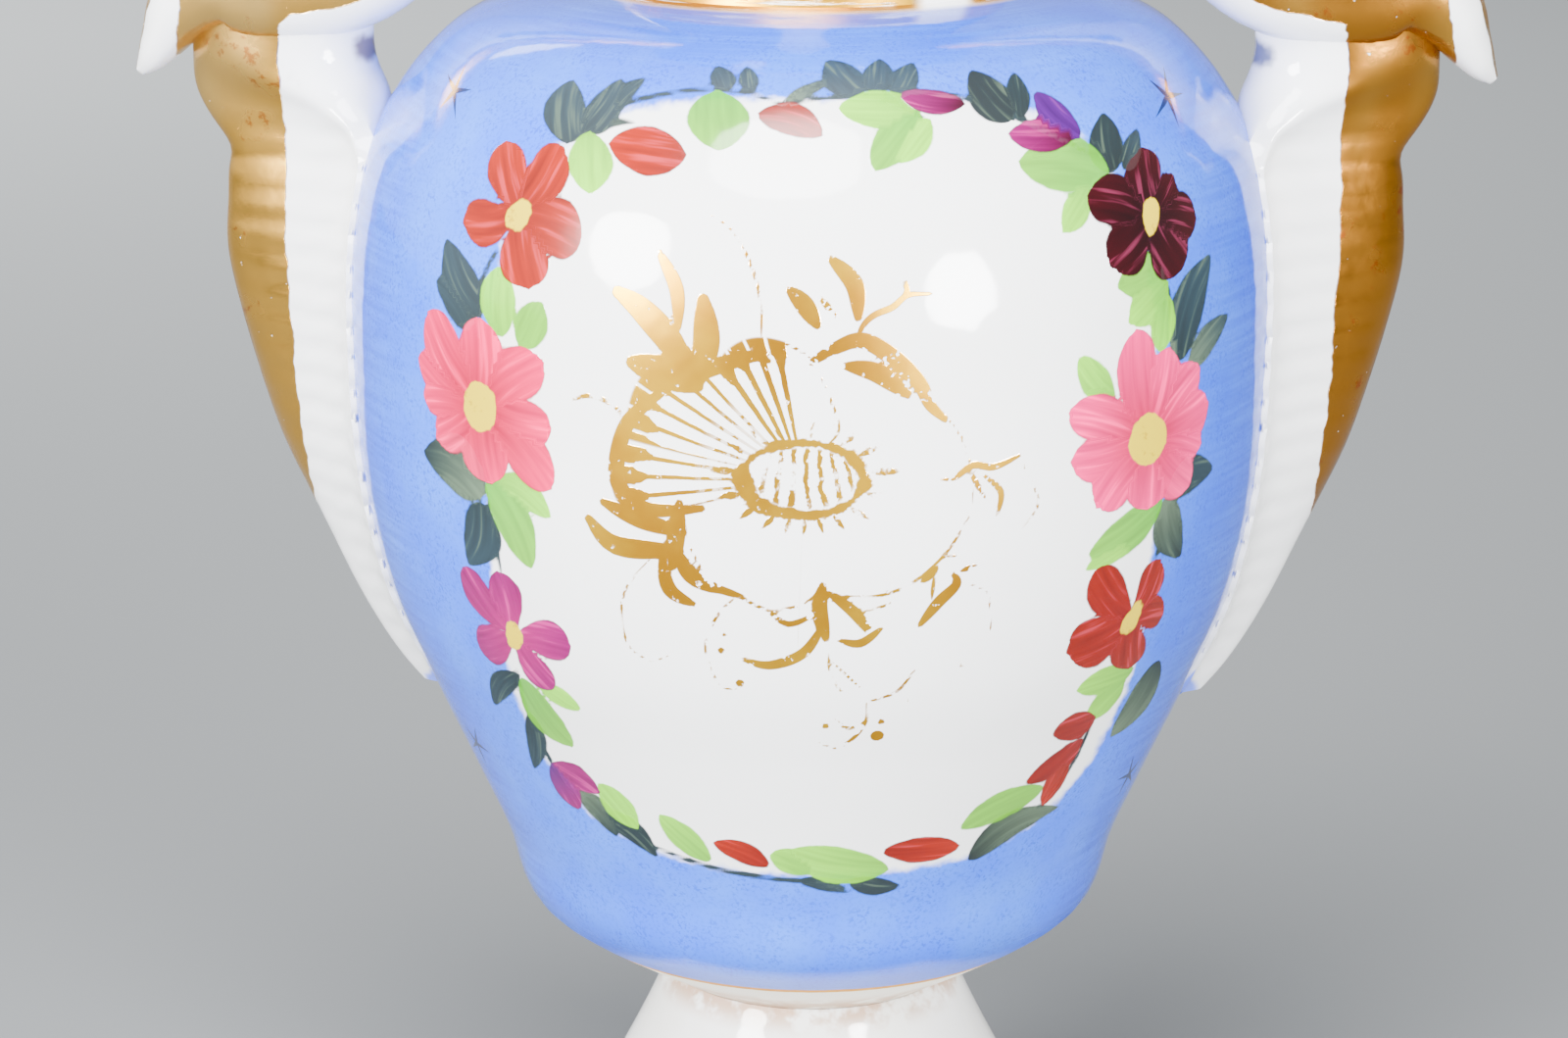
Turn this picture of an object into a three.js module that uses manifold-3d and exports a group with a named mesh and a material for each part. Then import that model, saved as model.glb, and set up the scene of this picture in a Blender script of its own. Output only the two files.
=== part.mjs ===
// A porcelain amphora with two leaf handles, on a trumpet foot with a square plinth.
// Millimetres, +Z up. The origin is the middle of the plinth's underside, the front faces -Y,
// and the handles stand to the left and right along X.

import * as THREE from 'three';
import { mergeVertices } from 'three/addons/utils/BufferGeometryUtils.js';
import Module from 'manifold-3d';

const wasm = await Module();
wasm.setup();

// Plinth and trumpet foot
const plinthSide = 82;
const plinthHeight = 16;
const plinthWall = 5;
const plinthCornerRadius = 2.5;
const footHeight = 32;
const footBaseRadius = 38;
const footEdgeHeight = 3.5;
const footStep = 1.6;
const footWall = 4.5;
const flarePower = 1.15;
const jointRadius = 22;
const jointGap = 0.3;

// Body, neck and lip
const bodyHeight = 149;
const bodyRadius = 67.4;
const wall = 4;
const floorThickness = 6;
const neckHeight = 63;
const neckBaseRadius = 28.5;
const neckShoulder = 1;
const neckBandHeight = 4;
const neckWaistRadius = 24.5;
const mouthRadius = 41;

// Handles. A leaf lies on the body's side, its midrib grows into a free stem,
// and an arm leaves the neck, passes over the stem and ends in a drooping curl.
const leafHalfWidth = 19.5;
const leafEdge = 0.8;
const leafRidge = 18.3;
const stemHalfWidth = 8.6;
const stemInset = 4.1;
const stemReach = 22.2;
const stemTop = 5;
const curlReach = 30.2;
const curlDrop = 15.2;
const armHalfWidth = 11;
const armHalfThickness = 9.5;
const armNeckHeight = 40;
const armSquareness = 3;
const crownPower = 1.25;
const stemMiddleShare = 0.42;

// How finely the round forms are cut into facets
const turns = 48;
const bodySteps = 22;
const neckSteps = 10;
const innerEvery = 2;
const ringHalf = 7;
const armPoints = 16;
const lipSteps = 4;
const flareSteps = 8;
const hollowSteps = 4;
const bodySamples = 400;
const neckSamples = 200;
const weldDistance = 1e-4;

const footTop = plinthHeight + footHeight;
const bodyBase = footTop + jointGap;
const shoulderTop = bodyBase + bodyHeight;

// The body's outline from the joint to the foot of the neck,
// as shares of bodyHeight and bodyRadius.
const bodyOutline = [
  [0.066, 0.564],
  [0.1, 0.64],
  [0.16, 0.68],
  [0.228, 0.745],
  [0.324, 0.84],
  [0.42, 0.928],
  [0.535, 0.985],
  [0.65, 1],
  [0.757, 0.991],
  [0.844, 0.949],
  [0.902, 0.881],
  [0.943, 0.806],
  [0.972, 0.722],
  [0.991, 0.6],
];

// The neck's outline above its band, as shares of neckHeight and of the way
// from the waist's radius to the mouth's.
const neckOutline = [
  [0.2, 0.09],
  [0.35, 0],
  [0.52, 0.06],
  [0.68, 0.24],
  [0.82, 0.52],
  [0.93, 0.83],
];

// The leaf on the body: height as a share of bodyHeight, the midrib's rise above
// the wall as a share of leafRidge, and the half width as a share of leafHalfWidth.
const leafForm = [
  [0.292, 0.17, 0.16],
  [0.32, 0.26, 0.36],
  [0.358, 0.31, 0.55],
  [0.399, 0.34, 0.7],
  [0.445, 0.39, 0.82],
  [0.494, 0.48, 0.92],
  [0.545, 0.6, 0.98],
  [0.595, 0.7, 1],
  [0.645, 0.8, 0.99],
  [0.694, 0.88, 0.96],
  [0.743, 0.96, 0.9],
  [0.791, 1, 0.82],
  [0.83, 1.1, 0.71],
];

// The stem above the leaf: height as a share of bodyHeight, the rise above the wall
// as a share of leafRidge, and how far it has left the wall and taken its free section.
const stemForm = [
  [0.862, 1.24, 0.2],
  [0.888, 1.48, 0.55],
  [0.911, 1.7, 0.9],
  [0.935, 1.95, 1],
  [0.965, 2.3, 1],
];

// The arm's middle line from the neck to the stem's head, as shares of the way across
// and of the way up, with its half width and half thickness as shares of the largest.
const armForm = [
  [0.0, 1.0, 0.72, 0.6],
  [0.11, 0.84, 0.76, 0.64],
  [0.3, 0.56, 0.83, 0.68],
  [0.5, 0.285, 0.9, 0.74],
  [0.64, 0.12, 0.96, 0.84],
  [0.8, 0.01, 1.0, 0.98],
  [1.0, -0.02, 1.0, 1.08],
];

// The curl beyond the stem's head: shares of the way out and of the drop,
// with the half width and half thickness again.
const curlForm = [
  [0.42, 0.09, 0.95, 0.84],
  [0.66, 0.36, 0.82, 0.58],
  [0.8, 0.66, 0.64, 0.38],
  [0.9, 0.87, 0.46, 0.24],
  [0.98, 1.0, 0.24, 0.1],
];

const mix = (a, b, t) => a + (b - a) * t;
const bulged = (a, power) => Math.sign(a) * Math.abs(a) ** power;

// Turns a geometry into a manifold solid whose faces point out.
function solidOf(geometry) {
  const bare = geometry.clone();
  bare.deleteAttribute('normal');
  bare.deleteAttribute('uv');
  const merged = mergeVertices(bare, weldDistance);
  const triangles = [];
  const index = merged.index.array;
  for (let i = 0; i < index.length; i += 3) {
    const [a, b, c] = [index[i], index[i + 1], index[i + 2]];
    if (a !== b && b !== c && c !== a) triangles.push(a, b, c);
  }
  const make = (list) =>
    new wasm.Manifold(
      new wasm.Mesh({
        numProp: 3,
        vertProperties: new Float32Array(merged.attributes.position.array),
        triVerts: new Uint32Array(list),
      })
    );
  const solid = make(triangles);
  if (solid.volume() > 0) return solid;
  for (let i = 0; i < triangles.length; i += 3) {
    [triangles[i], triangles[i + 1]] = [triangles[i + 1], triangles[i]];
  }
  return make(triangles);
}

// Turns a solid back into a geometry with flat-shaded facets.
function geometryOf(solid) {
  const mesh = solid.getMesh();
  const geometry = new THREE.BufferGeometry();
  const positions = new Float32Array(mesh.numVert * 3);
  for (let v = 0; v < mesh.numVert; v += 1) {
    for (let k = 0; k < 3; k += 1) {
      positions[v * 3 + k] = mesh.vertProperties[v * mesh.numProp + k];
    }
  }
  geometry.setAttribute('position', new THREE.BufferAttribute(positions, 3));
  geometry.setIndex(new THREE.BufferAttribute(new Uint32Array(mesh.triVerts), 1));
  geometry.computeVertexNormals();
  return geometry;
}

// A turned solid. The profile is a list of Vector2(radius, height) that starts and ends on the axis.
function turned(profile) {
  const lathe = new THREE.LatheGeometry(profile, turns);
  lathe.rotateX(Math.PI / 2);
  return solidOf(lathe);
}

// A skin through rings of equally many points, closed at both ends.
function lofted(rings) {
  const count = rings[0].length;
  const points = rings.flat();
  const triangles = [];
  for (let r = 0; r + 1 < rings.length; r += 1) {
    for (let p = 0; p < count; p += 1) {
      const q = (p + 1) % count;
      const low = r * count;
      const high = low + count;
      triangles.push(low + p, low + q, high + q);
      triangles.push(low + p, high + q, high + p);
    }
  }
  addCap(triangles, rings[0], 0, true);
  addCap(triangles, rings[rings.length - 1], (rings.length - 1) * count, false);
  const geometry = new THREE.BufferGeometry().setFromPoints(points);
  geometry.setIndex(triangles);
  return solidOf(geometry);
}

// Closes one end of a loft, in the ring's own plane.
function addCap(triangles, ring, first, reversed) {
  const middle = ring.reduce((sum, p) => sum.add(p), new THREE.Vector3()).divideScalar(ring.length);
  const normal = new THREE.Vector3();
  ring.forEach((p, i) => {
    const next = ring[(i + 1) % ring.length];
    normal.add(p.clone().sub(middle).cross(next.clone().sub(middle)));
  });
  normal.normalize();
  const across = ring[0].clone().sub(middle).normalize();
  const up = normal.clone().cross(across);
  const flat = ring.map((p) => {
    const d = p.clone().sub(middle);
    return new THREE.Vector2(d.dot(across), d.dot(up));
  });
  THREE.ShapeUtils.triangulateShape(flat, []).forEach(([a, b, c]) => {
    if (reversed) triangles.push(first + a, first + c, first + b);
    else triangles.push(first + a, first + b, first + c);
  });
}

// The body's outer outline as radius over height.
const bodyCurve = new THREE.SplineCurve([
  new THREE.Vector2(jointRadius, bodyBase),
  ...bodyOutline.map(([h, r]) => new THREE.Vector2(r * bodyRadius, bodyBase + h * bodyHeight)),
  new THREE.Vector2(neckBaseRadius + neckShoulder, shoulderTop),
]);

// The neck's outer outline, from its band to the mouth.
const neckCurve = new THREE.SplineCurve([
  new THREE.Vector2(neckBaseRadius, shoulderTop + neckBandHeight),
  ...neckOutline.map(
    ([h, r]) => new THREE.Vector2(mix(neckWaistRadius, mouthRadius, r), shoulderTop + h * neckHeight)
  ),
  new THREE.Vector2(mouthRadius, shoulderTop + neckHeight - wall / 2),
]);

// The outer radius at a height, found on a finely sampled outline.
const outlineSamples = [...bodyCurve.getPoints(bodySamples), ...neckCurve.getPoints(neckSamples)];
function radiusAt(z) {
  for (let i = 1; i < outlineSamples.length; i += 1) {
    const [a, b] = [outlineSamples[i - 1], outlineSamples[i]];
    if (z <= b.y) return mix(a.x, b.x, (z - a.y) / Math.max(b.y - a.y, weldDistance));
  }
  return mouthRadius;
}

// The hollow body and neck, with a rounded lip and a flat floor inside.
function makeVessel() {
  const outer = [...bodyCurve.getSpacedPoints(bodySteps), ...neckCurve.getSpacedPoints(neckSteps)];
  const inward = outer.map((p, i) => {
    const before = outer[Math.max(i - 1, 0)];
    const after = outer[Math.min(i + 1, outer.length - 1)];
    const along = after.clone().sub(before).normalize();
    return new THREE.Vector2(p.x - along.y * wall, p.y + along.x * wall);
  });
  const floor = bodyBase + floorThickness;
  const inner = [];
  inward.forEach((p, i) => {
    const last = inner[inner.length - 1];
    const wanted = i % innerEvery === 0 || i === inward.length - 1;
    const clear = p.y > floor + wall / 2 && p.x > wall;
    if (wanted && clear && (!last || p.y > last.y + wall / 8)) inner.push(p);
  });
  const outerEnd = outer[outer.length - 1];
  const innerEnd = inner[inner.length - 1];
  const lipMiddle = outerEnd.clone().add(innerEnd).multiplyScalar(0.5);
  const start = outerEnd.clone().sub(lipMiddle);
  const lip = [];
  for (let i = 1; i < lipSteps; i += 1) {
    const turn = start.clone().rotateAround(new THREE.Vector2(), (Math.PI * i) / lipSteps);
    lip.push(lipMiddle.clone().add(turn));
  }
  return turned([
    new THREE.Vector2(0, bodyBase),
    ...outer,
    ...lip,
    ...inner.reverse(),
    new THREE.Vector2(inner[inner.length - 1].x - wall, floor),
    new THREE.Vector2(0, floor),
  ]);
}

// One horizontal ring of the leaf and stem. The outer side runs over the midrib from margin to margin,
// and the inner side lies in the middle of the wall, or free where the stem has left it.
function leafRing(z, halfWidth, rise, freed) {
  const surface = radiusAt(Math.min(z, shoulderTop));
  const freeInner = bodyRadius - stemInset;
  const freeOuter = bodyRadius + stemReach;
  const margin = (y) => Math.sqrt(Math.max((surface + leafEdge) ** 2 - y * y, 0));
  const sunk = (y) => Math.sqrt(Math.max((surface - wall / 2) ** 2 - y * y, 0));
  const freeMiddle = mix(freeInner, freeOuter, stemMiddleShare);
  const ring = [];
  const place = (s, outerSide) => {
    const y = halfWidth * s;
    const crown = ((1 + Math.cos(Math.PI * s)) / 2) ** crownPower;
    const roundness = Math.sqrt(Math.max(1 - s * s, 0));
    const onBody = outerSide ? margin(y) + rise * crown : sunk(y);
    const freeEnd = outerSide ? freeOuter : freeInner;
    const free = mix(freeMiddle, freeEnd, roundness);
    ring.push(new THREE.Vector3(mix(onBody, free, freed), y, z));
  };
  for (let i = -ringHalf; i <= ringHalf; i += 1) {
    place(Math.sin((Math.PI / 2) * (i / ringHalf)), true);
  }
  for (let i = ringHalf - 1; i > -ringHalf; i -= innerEvery) {
    place(Math.sin((Math.PI / 2) * (i / ringHalf)), false);
  }
  return ring;
}

// The leaf on the body's side and the stem that grows out of it.
function makeLeafAndStem() {
  const rings = leafForm.map(([h, rise, width]) =>
    leafRing(bodyBase + h * bodyHeight, width * leafHalfWidth, rise * leafRidge, 0)
  );
  const lastWidth = leafForm[leafForm.length - 1][2] * leafHalfWidth;
  stemForm.forEach(([h, rise, freed]) => {
    const width = mix(lastWidth, stemHalfWidth, Math.sqrt(freed));
    rings.push(leafRing(bodyBase + h * bodyHeight, width, rise * leafRidge, freed));
  });
  rings.push(leafRing(shoulderTop + stemTop, stemHalfWidth, 0, 1));
  return lofted(rings);
}

// The arm from the neck over the stem, with the curl at its outer end.
function makeArmAndCurl() {
  const headX = bodyRadius + (stemReach - stemInset) / 2;
  const headZ = shoulderTop + stemTop / 3;
  const neckZ = shoulderTop + armNeckHeight;
  const neckX = radiusAt(neckZ) - wall / 2;
  const neckLean = (radiusAt(neckZ + wall) - radiusAt(neckZ - wall)) / (2 * wall);
  const reach = bodyRadius + curlReach - headX;
  const line = [
    ...armForm.map(([a, b, w, t]) => [mix(neckX, headX, a), mix(headZ, neckZ, b), w, t]),
    ...curlForm.map(([a, b, w, t]) => [headX + a * reach, headZ - b * curlDrop, w, t]),
  ];
  const rings = line.map(([x, z, w, t], i) => {
    const before = line[Math.max(i - 1, 0)];
    const after = line[Math.min(i + 1, line.length - 1)];
    const along = new THREE.Vector2(after[0] - before[0], after[1] - before[1]).normalize();
    // The first ring leans with the neck's wall and lies inside it, so that nothing pokes through.
    if (i === 0) along.set(1, -neckLean).normalize();
    const ring = [];
    for (let p = 0; p < armPoints; p += 1) {
      const angle = (Math.PI * 2 * p) / armPoints;
      // The lower half is squarer than the upper one.
      const corner = Math.cos(angle) < 0 ? 2 / armSquareness : 1;
      const out = bulged(Math.cos(angle), corner) * t * armHalfThickness;
      const side = bulged(Math.sin(angle), corner) * w * armHalfWidth;
      ring.push(new THREE.Vector3(x - along.y * out, side, z + along.x * out));
    }
    return ring;
  });
  return lofted(rings);
}

// The trumpet foot's outer radius at a distance below the joint.
function footRadiusAt(depth) {
  const share = depth / (footHeight - footEdgeHeight);
  return mix(jointRadius, footBaseRadius - footStep, share ** flarePower);
}

// The foot and its square plinth, one casting that is hollow from beneath.
function makeFoot() {
  const beadDepth = footEdgeHeight / 4;
  const beadHeights = [0.35 * footEdgeHeight, 0.8 * footEdgeHeight];
  const overlap = plinthWall / 5;
  const flare = [];
  for (let i = flareSteps; i >= 0; i -= 1) {
    const depth = ((footHeight - footEdgeHeight) * i) / flareSteps;
    flare.push(new THREE.Vector2(footRadiusAt(depth), footTop - depth));
  }
  const trumpet = turned([
    new THREE.Vector2(0, plinthHeight - plinthWall / 2),
    new THREE.Vector2(footBaseRadius - beadDepth, plinthHeight - plinthWall / 2),
    new THREE.Vector2(footBaseRadius - beadDepth, plinthHeight),
    new THREE.Vector2(footBaseRadius, plinthHeight + beadHeights[0]),
    new THREE.Vector2(footBaseRadius - beadDepth / 2, plinthHeight + beadHeights[1]),
    ...flare,
    new THREE.Vector2(0, footTop),
  ]);
  const hollow = [new THREE.Vector2(0, footTop - footWall)];
  for (let i = 0; i <= hollowSteps; i += 1) {
    const depth = mix(footWall, footHeight, i / hollowSteps);
    const radius = footRadiusAt(Math.min(depth, footHeight - footEdgeHeight)) - footWall;
    hollow.push(new THREE.Vector2(radius, footTop - depth));
  }
  const throat = hollow[hollow.length - 1].x;
  hollow.push(new THREE.Vector2(throat, plinthHeight - plinthWall - overlap));
  hollow.push(new THREE.Vector2(0, plinthHeight - plinthWall - overlap));
  const plinth = solidOf(squareSlab(plinthSide, plinthCornerRadius, 0, plinthHeight));
  const inside = plinthSide - 2 * plinthWall;
  const plinthHollow = solidOf(
    squareSlab(inside, plinthCornerRadius / 2, -plinthWall, plinthHeight - plinthWall)
  );
  return plinth.add(trumpet).subtract(plinthHollow).subtract(turned(hollow));
}

// A square slab with rounded corners between two heights.
function squareSlab(side, corner, low, high) {
  const half = side / 2;
  const shape = new THREE.Shape();
  shape.moveTo(half, -half + corner);
  shape.lineTo(half, half - corner);
  shape.absarc(half - corner, half - corner, corner, 0, Math.PI / 2);
  shape.lineTo(-half + corner, half);
  shape.absarc(-half + corner, half - corner, corner, Math.PI / 2, Math.PI);
  shape.lineTo(-half, -half + corner);
  shape.absarc(-half + corner, -half + corner, corner, Math.PI, Math.PI * 1.5);
  shape.lineTo(half - corner, -half);
  shape.absarc(half - corner, -half + corner, corner, Math.PI * 1.5, Math.PI * 2);
  const slab = new THREE.ExtrudeGeometry(shape, {
    depth: high - low,
    bevelEnabled: false,
    curveSegments: 4,
  });
  slab.translate(0, 0, low);
  return slab;
}

function makeAmphora() {
  const handle = makeLeafAndStem().add(makeArmAndCurl());
  const otherHandle = handle.rotate([0, 0, 180]);
  return makeVessel().add(handle).add(otherHandle);
}

const porcelain = new THREE.MeshStandardMaterial({ color: 0x8fabe0, roughness: 0.12, metalness: 0 });
const footPorcelain = new THREE.MeshStandardMaterial({ color: 0xf1f0ec, roughness: 0.15, metalness: 0 });

const amphora = new THREE.Mesh(geometryOf(makeAmphora()), porcelain);
amphora.name = 'amphora';

const foot = new THREE.Mesh(geometryOf(makeFoot()), footPorcelain);
foot.name = 'foot';

const part = new THREE.Group();
part.add(amphora, foot);

export default part;
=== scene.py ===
import math

import bpy
import numpy as np
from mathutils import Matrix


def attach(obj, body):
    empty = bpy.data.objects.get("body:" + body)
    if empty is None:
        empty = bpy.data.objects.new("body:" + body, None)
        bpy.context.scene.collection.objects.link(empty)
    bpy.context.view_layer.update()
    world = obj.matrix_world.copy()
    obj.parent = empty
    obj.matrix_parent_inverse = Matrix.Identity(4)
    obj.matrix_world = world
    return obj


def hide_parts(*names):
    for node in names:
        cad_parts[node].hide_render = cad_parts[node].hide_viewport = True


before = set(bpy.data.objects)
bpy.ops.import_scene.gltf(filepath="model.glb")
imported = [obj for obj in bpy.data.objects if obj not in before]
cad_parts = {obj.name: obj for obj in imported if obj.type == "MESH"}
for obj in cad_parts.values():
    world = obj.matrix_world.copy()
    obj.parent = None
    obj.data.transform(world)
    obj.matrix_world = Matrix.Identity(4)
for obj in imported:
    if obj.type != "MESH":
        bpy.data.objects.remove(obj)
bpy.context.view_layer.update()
mm = 0.001
print("frame loaded:", sorted(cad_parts))

vessel = {
    "bodyBase": 48.3,
    "bodyHeight": 149.0,
    "bodyRadius": 67.36,
    "jointRadius": 22.0,
    "wall": 4.0,
    "floorThickness": 6.0,
    "neckHeight": 62.88,
    "neckBaseRadius": 28.5,
    "neckShoulder": 1.0,  # the body ends this much outside the neck
    "neckBandHeight": 4.0,
    "neckWaistRadius": 24.5,
    "mouthRadius": 41.0,
    # height and radius as shares of bodyHeight and bodyRadius
    "bodyOutline": [
        (0.066, 0.564), (0.1, 0.64), (0.16, 0.68), (0.228, 0.745), (0.324, 0.84), (0.42, 0.928),
        (0.535, 0.985), (0.65, 1.0), (0.757, 0.991), (0.844, 0.949), (0.902, 0.881), (0.943, 0.806),
        (0.972, 0.722), (0.991, 0.6),
    ],
    # height as a share of neckHeight, radius as a share of the way from waist to mouth
    "neckOutline": [(0.2, 0.09), (0.35, 0.0), (0.52, 0.06), (0.68, 0.24), (0.82, 0.52), (0.93, 0.83)],
    "panelMiddle": 101.5,  # up the wall from the joint
    "frontTurn": 2.5,  # the painted front stands this far round from the middle of the handles
    # from, to and spacing along the wall, finest where the gilt flower is
    "rows": [(0, 36, 2.0), (36, 64, 0.8), (64, 137, 0.56), (137, 170, 0.8), (170, 400, 1.6)],
    "columns": [(-68, -34, 0.82), (-34, 34, 0.56), (34, 68, 0.82), (68, 355.5, 3.4)],
    "fineFrom": 34.0,
    "fineTo": 172.0,
    "plainColumns": 120,
    "innerColumns": 96,
    "innerSpacing": 3.0,
    "lipSteps": 8,
    "outlineSteps": 40,  # between two points of an outline
    "paintedTo": (80.0, 75.0),  # how far across and up the front is painted
}

handle = {
    "leafHalfWidth": 19.5,
    "leafEdge": 0.8,
    "leafRidge": 18.3,
    "stemHalfWidth": 8.6,
    "stemInset": 4.1,
    "stemReach": 22.2,
    "stemTop": 5.0,
    "curlReach": 30.2,
    "curlDrop": 15.2,
    "armHalfWidth": 11.0,
    "armHalfThickness": 9.5,
    "armNeckHeight": 40.0,
    "armSquareness": 3.0,
    "stemMiddle": 0.42,  # where the free stem is widest, from its inner to its outer side
    "crownPower": 1.25,
    # share of bodyHeight, rise as a share of leafRidge, half width as a share of leafHalfWidth
    "leafForm": [
        (0.292, 0.17, 0.16), (0.32, 0.26, 0.36), (0.358, 0.31, 0.55), (0.399, 0.34, 0.7),
        (0.445, 0.39, 0.82), (0.494, 0.48, 0.92), (0.545, 0.6, 0.98), (0.595, 0.7, 1.0),
        (0.645, 0.8, 0.99), (0.694, 0.88, 0.96), (0.743, 0.96, 0.9), (0.791, 1.0, 0.82),
        (0.83, 1.1, 0.71),
    ],
    # share of bodyHeight, rise, and how far the stem has left the wall
    "stemForm": [
        (0.862, 1.24, 0.2), (0.888, 1.48, 0.55), (0.911, 1.7, 0.9), (0.935, 1.95, 1.0), (0.965, 2.3, 1.0),
    ],
    # shares of the way across and up, then of the half width and half thickness
    "armForm": [
        (0.0, 1.0, 0.72, 0.6), (0.11, 0.84, 0.76, 0.64), (0.3, 0.56, 0.83, 0.68),
        (0.5, 0.285, 0.9, 0.74), (0.64, 0.12, 0.96, 0.84), (0.8, 0.01, 1.0, 0.98), (1.0, -0.02, 1.0, 1.08),
    ],
    "curlForm": [
        (0.42, 0.09, 0.95, 0.84), (0.66, 0.36, 0.82, 0.58), (0.8, 0.66, 0.64, 0.38),
        (0.9, 0.87, 0.46, 0.24), (0.98, 1.0, 0.24, 0.1),
    ],
    "formSteps": 12,  # between two rows of a form
    "riseEasing": 8,
    "freedEasing": 3,
    "ringSpacing": 1.0,
    "outerPoints": 41,
    "innerPoints": 13,
    "armSteps": 4,
    "armPoints": 36,
    "veinPitch": 3.6,
    "veinSlope": 0.75,
    "veinDepth": 0.32,
    # veins fade in and out across the leaf, from its middle at 0 to its margin at 1
    "veinsFrom": (0.28, 0.43),
    "veinsTo": (0.97, 0.87),
    "leafyFrom": (3.0, 9.0),  # half widths between which the margin becomes scalloped
    "toothPitch": 4.4,
    "toothReach": 0.045,
    # height, and the distance from the axis at which the gilding of the midrib starts
    "gildedFrom": [(112.0, 73.2), (122.0, 73.6), (140.0, 75.0), (160.0, 75.6), (205.0, 75.8)],
    "lipEnd": 75.5,
    "lipDepth": 0.5,
    "curlWhiteFrom": 88.5,
    "curlWhiteLean": 0.22,
    "curlWhiteUnder": 0.8,
    # painted shade where the stem leaves the wall, and the leaf's tip is blue
    "rootShadeAt": (63.5, 187.5),
    "rootShadeDepth": 4.0,
    "rootShadeFrom": 2.2,
    "rootShadeFade": 0.8,
    "tipBlueFade": (98.0, 93.0),
    "tipBlueWidth": 3.0,
    "tipBlueInset": 0.4,
    "ungilded": -4.0,
    "unblued": -3.0,
    "armLine": (0.75, 0.9, 1.1),  # the blue line under the arm: share of its thickness, width, sharpness
    "armLineTo": 0.6,
    "knobs": [(173.0, 3.0, -1.1), (156.0, 9.0, 0.5)],  # height, spread, swell
}

tooth = {
    "pitch": 2.9, "length": 1.9, "width": 0.9, "thickness": 0.45, "scatter": 0.3, "seed": 4,
    "inset": 0.75,  # in from the leaf's margin
    "lift": 0.35,  # a share of the leaf's edge
    "points": 60,  # along each margin
}

foot = {
    "plinthSide": 82.0,
    "plinthHeight": 16.0,
    "plinthWall": 5.0,
    "plinthCorner": 2.5,
    "plinthBevel": 0.6,
    "footHeight": 32.0,
    "footBaseRadius": 38.0,
    "footEdgeHeight": 3.5,
    "footStep": 1.6,
    "footWall": 4.5,
    "flarePower": 1.15,
    "flareSteps": 20,
    "columns": 144,
}

studio = {
    "lens": 88.2,
    "distance": 550.0,
    "height": 268.8,
    "aside": -4.07,
    "pitch": 15.4,
    "floorSide": 9.0,
    # painted light on the floor: paler far off, and most on the left
    "floorNear": (0.15, 0.157, 0.161),
    "floorFarRight": (0.25, 0.262, 0.267),
    "floorFarLeft": (0.40, 0.415, 0.42),
    # the room is brighter on the left and above
    "skyLow": 0.45,
    "skyHigh": 1.45,
    "skyTurn": (-0.75, -0.15, 0.64),
    "skyColour": (0.95, 0.975, 1.0, 1.0),
    # place and target in metres round the painted front, size in metres, watts
    "lamps": [
        ((-0.60, -0.60, 0.40), (0.0, 0.0, 0.16), 0.32, 23.0),
        ((0.49, -0.72, 0.27), (0.0, 0.0, 0.16), 0.26, 18.0),
        ((-0.15, -0.9, 1.5), (0.0, 0.0, 0.16), 0.9, 68.0),
        ((-0.7, 1.3, 1.1), (-0.5, 1.1, 0.0), 0.7, 14.0),
    ],
}


def linear(v):
    return v / 12.92 if v <= 0.04045 else ((v + 0.055) / 1.055) ** 2.4


def colour(red, green, blue):
    return tuple(linear(v / 255) for v in (red, green, blue)) + (1.0,)


def placed(name, data):
    # a new object in the scene
    made = bpy.data.objects.new(name, data)
    bpy.context.scene.collection.objects.link(made)
    return made


def makeNode(tree, kind, settings=None, values=None):
    # a value is a constant, another node's socket, or a Mixed that holds one
    made = tree.nodes.new(kind)
    for key, value in (settings or {}).items():
        setattr(made, key, value)
    for key, value in (values or {}).items():
        value = getattr(value, "socket", value)
        if isinstance(value, bpy.types.NodeSocket):
            tree.links.new(value, made.inputs[key])
        else:
            made.inputs[key].default_value = value
    return made


# Enamel colours, deeper than they look once the light is on them
enamel = {
    "porcelain": colour(243, 244, 245),
    "blue": colour(26, 96, 248),
    "deepBlue": colour(2, 38, 180),
    "paleBlue": colour(62, 134, 255),
    "shadeBlue": colour(4, 50, 158),
    "inkBlue": colour(12, 26, 96),
    "umber": colour(92, 56, 44),
    "slate": colour(24, 44, 54),
    "dark": colour(8, 28, 33),
    "sea": colour(5, 20, 23),
    "greyGreen": colour(76, 94, 74),
    "green": colour(90, 160, 0),
    "paleGreen": colour(116, 196, 0),
    "midGreen": colour(66, 148, 3),
    "red": colour(114, 14, 0),
    "softRed": colour(138, 22, 0),
    "brick": colour(116, 6, 3),
    "pink": colour(216, 6, 84),
    "palePink": colour(248, 100, 158),
    "rosePink": colour(228, 30, 112),
    "rose": colour(146, 0, 32),
    "crimson": colour(42, 0, 5),
    "wine": colour(16, 1, 4),
    "magenta": colour(118, 4, 84),
    "violet": colour(64, 6, 96),
    "plum": colour(146, 10, 92),
    "yellow": colour(206, 180, 0),
    "ochre": colour(136, 84, 2),
    "gold": colour(228, 174, 18),
    "oldGold": colour(196, 136, 10),
    "paleGold": colour(234, 192, 112),
    "handleGold": colour(214, 162, 66),
    "brownGold": colour(176, 116, 34),
    "redGold": colour(168, 66, 18),
    "stain": colour(168, 108, 30),
    "cream": colour(240, 234, 220),
    "handleWhite": colour(244, 245, 246),
    "handleGrey": colour(232, 233, 234),
    "insideWhite": colour(236, 236, 232),
    "insideGrey": colour(222, 221, 214),
    "footWhite": colour(245, 246, 246),
    "footCream": colour(238, 237, 232),
    "bareClay": colour(214, 206, 190),
}

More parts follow.
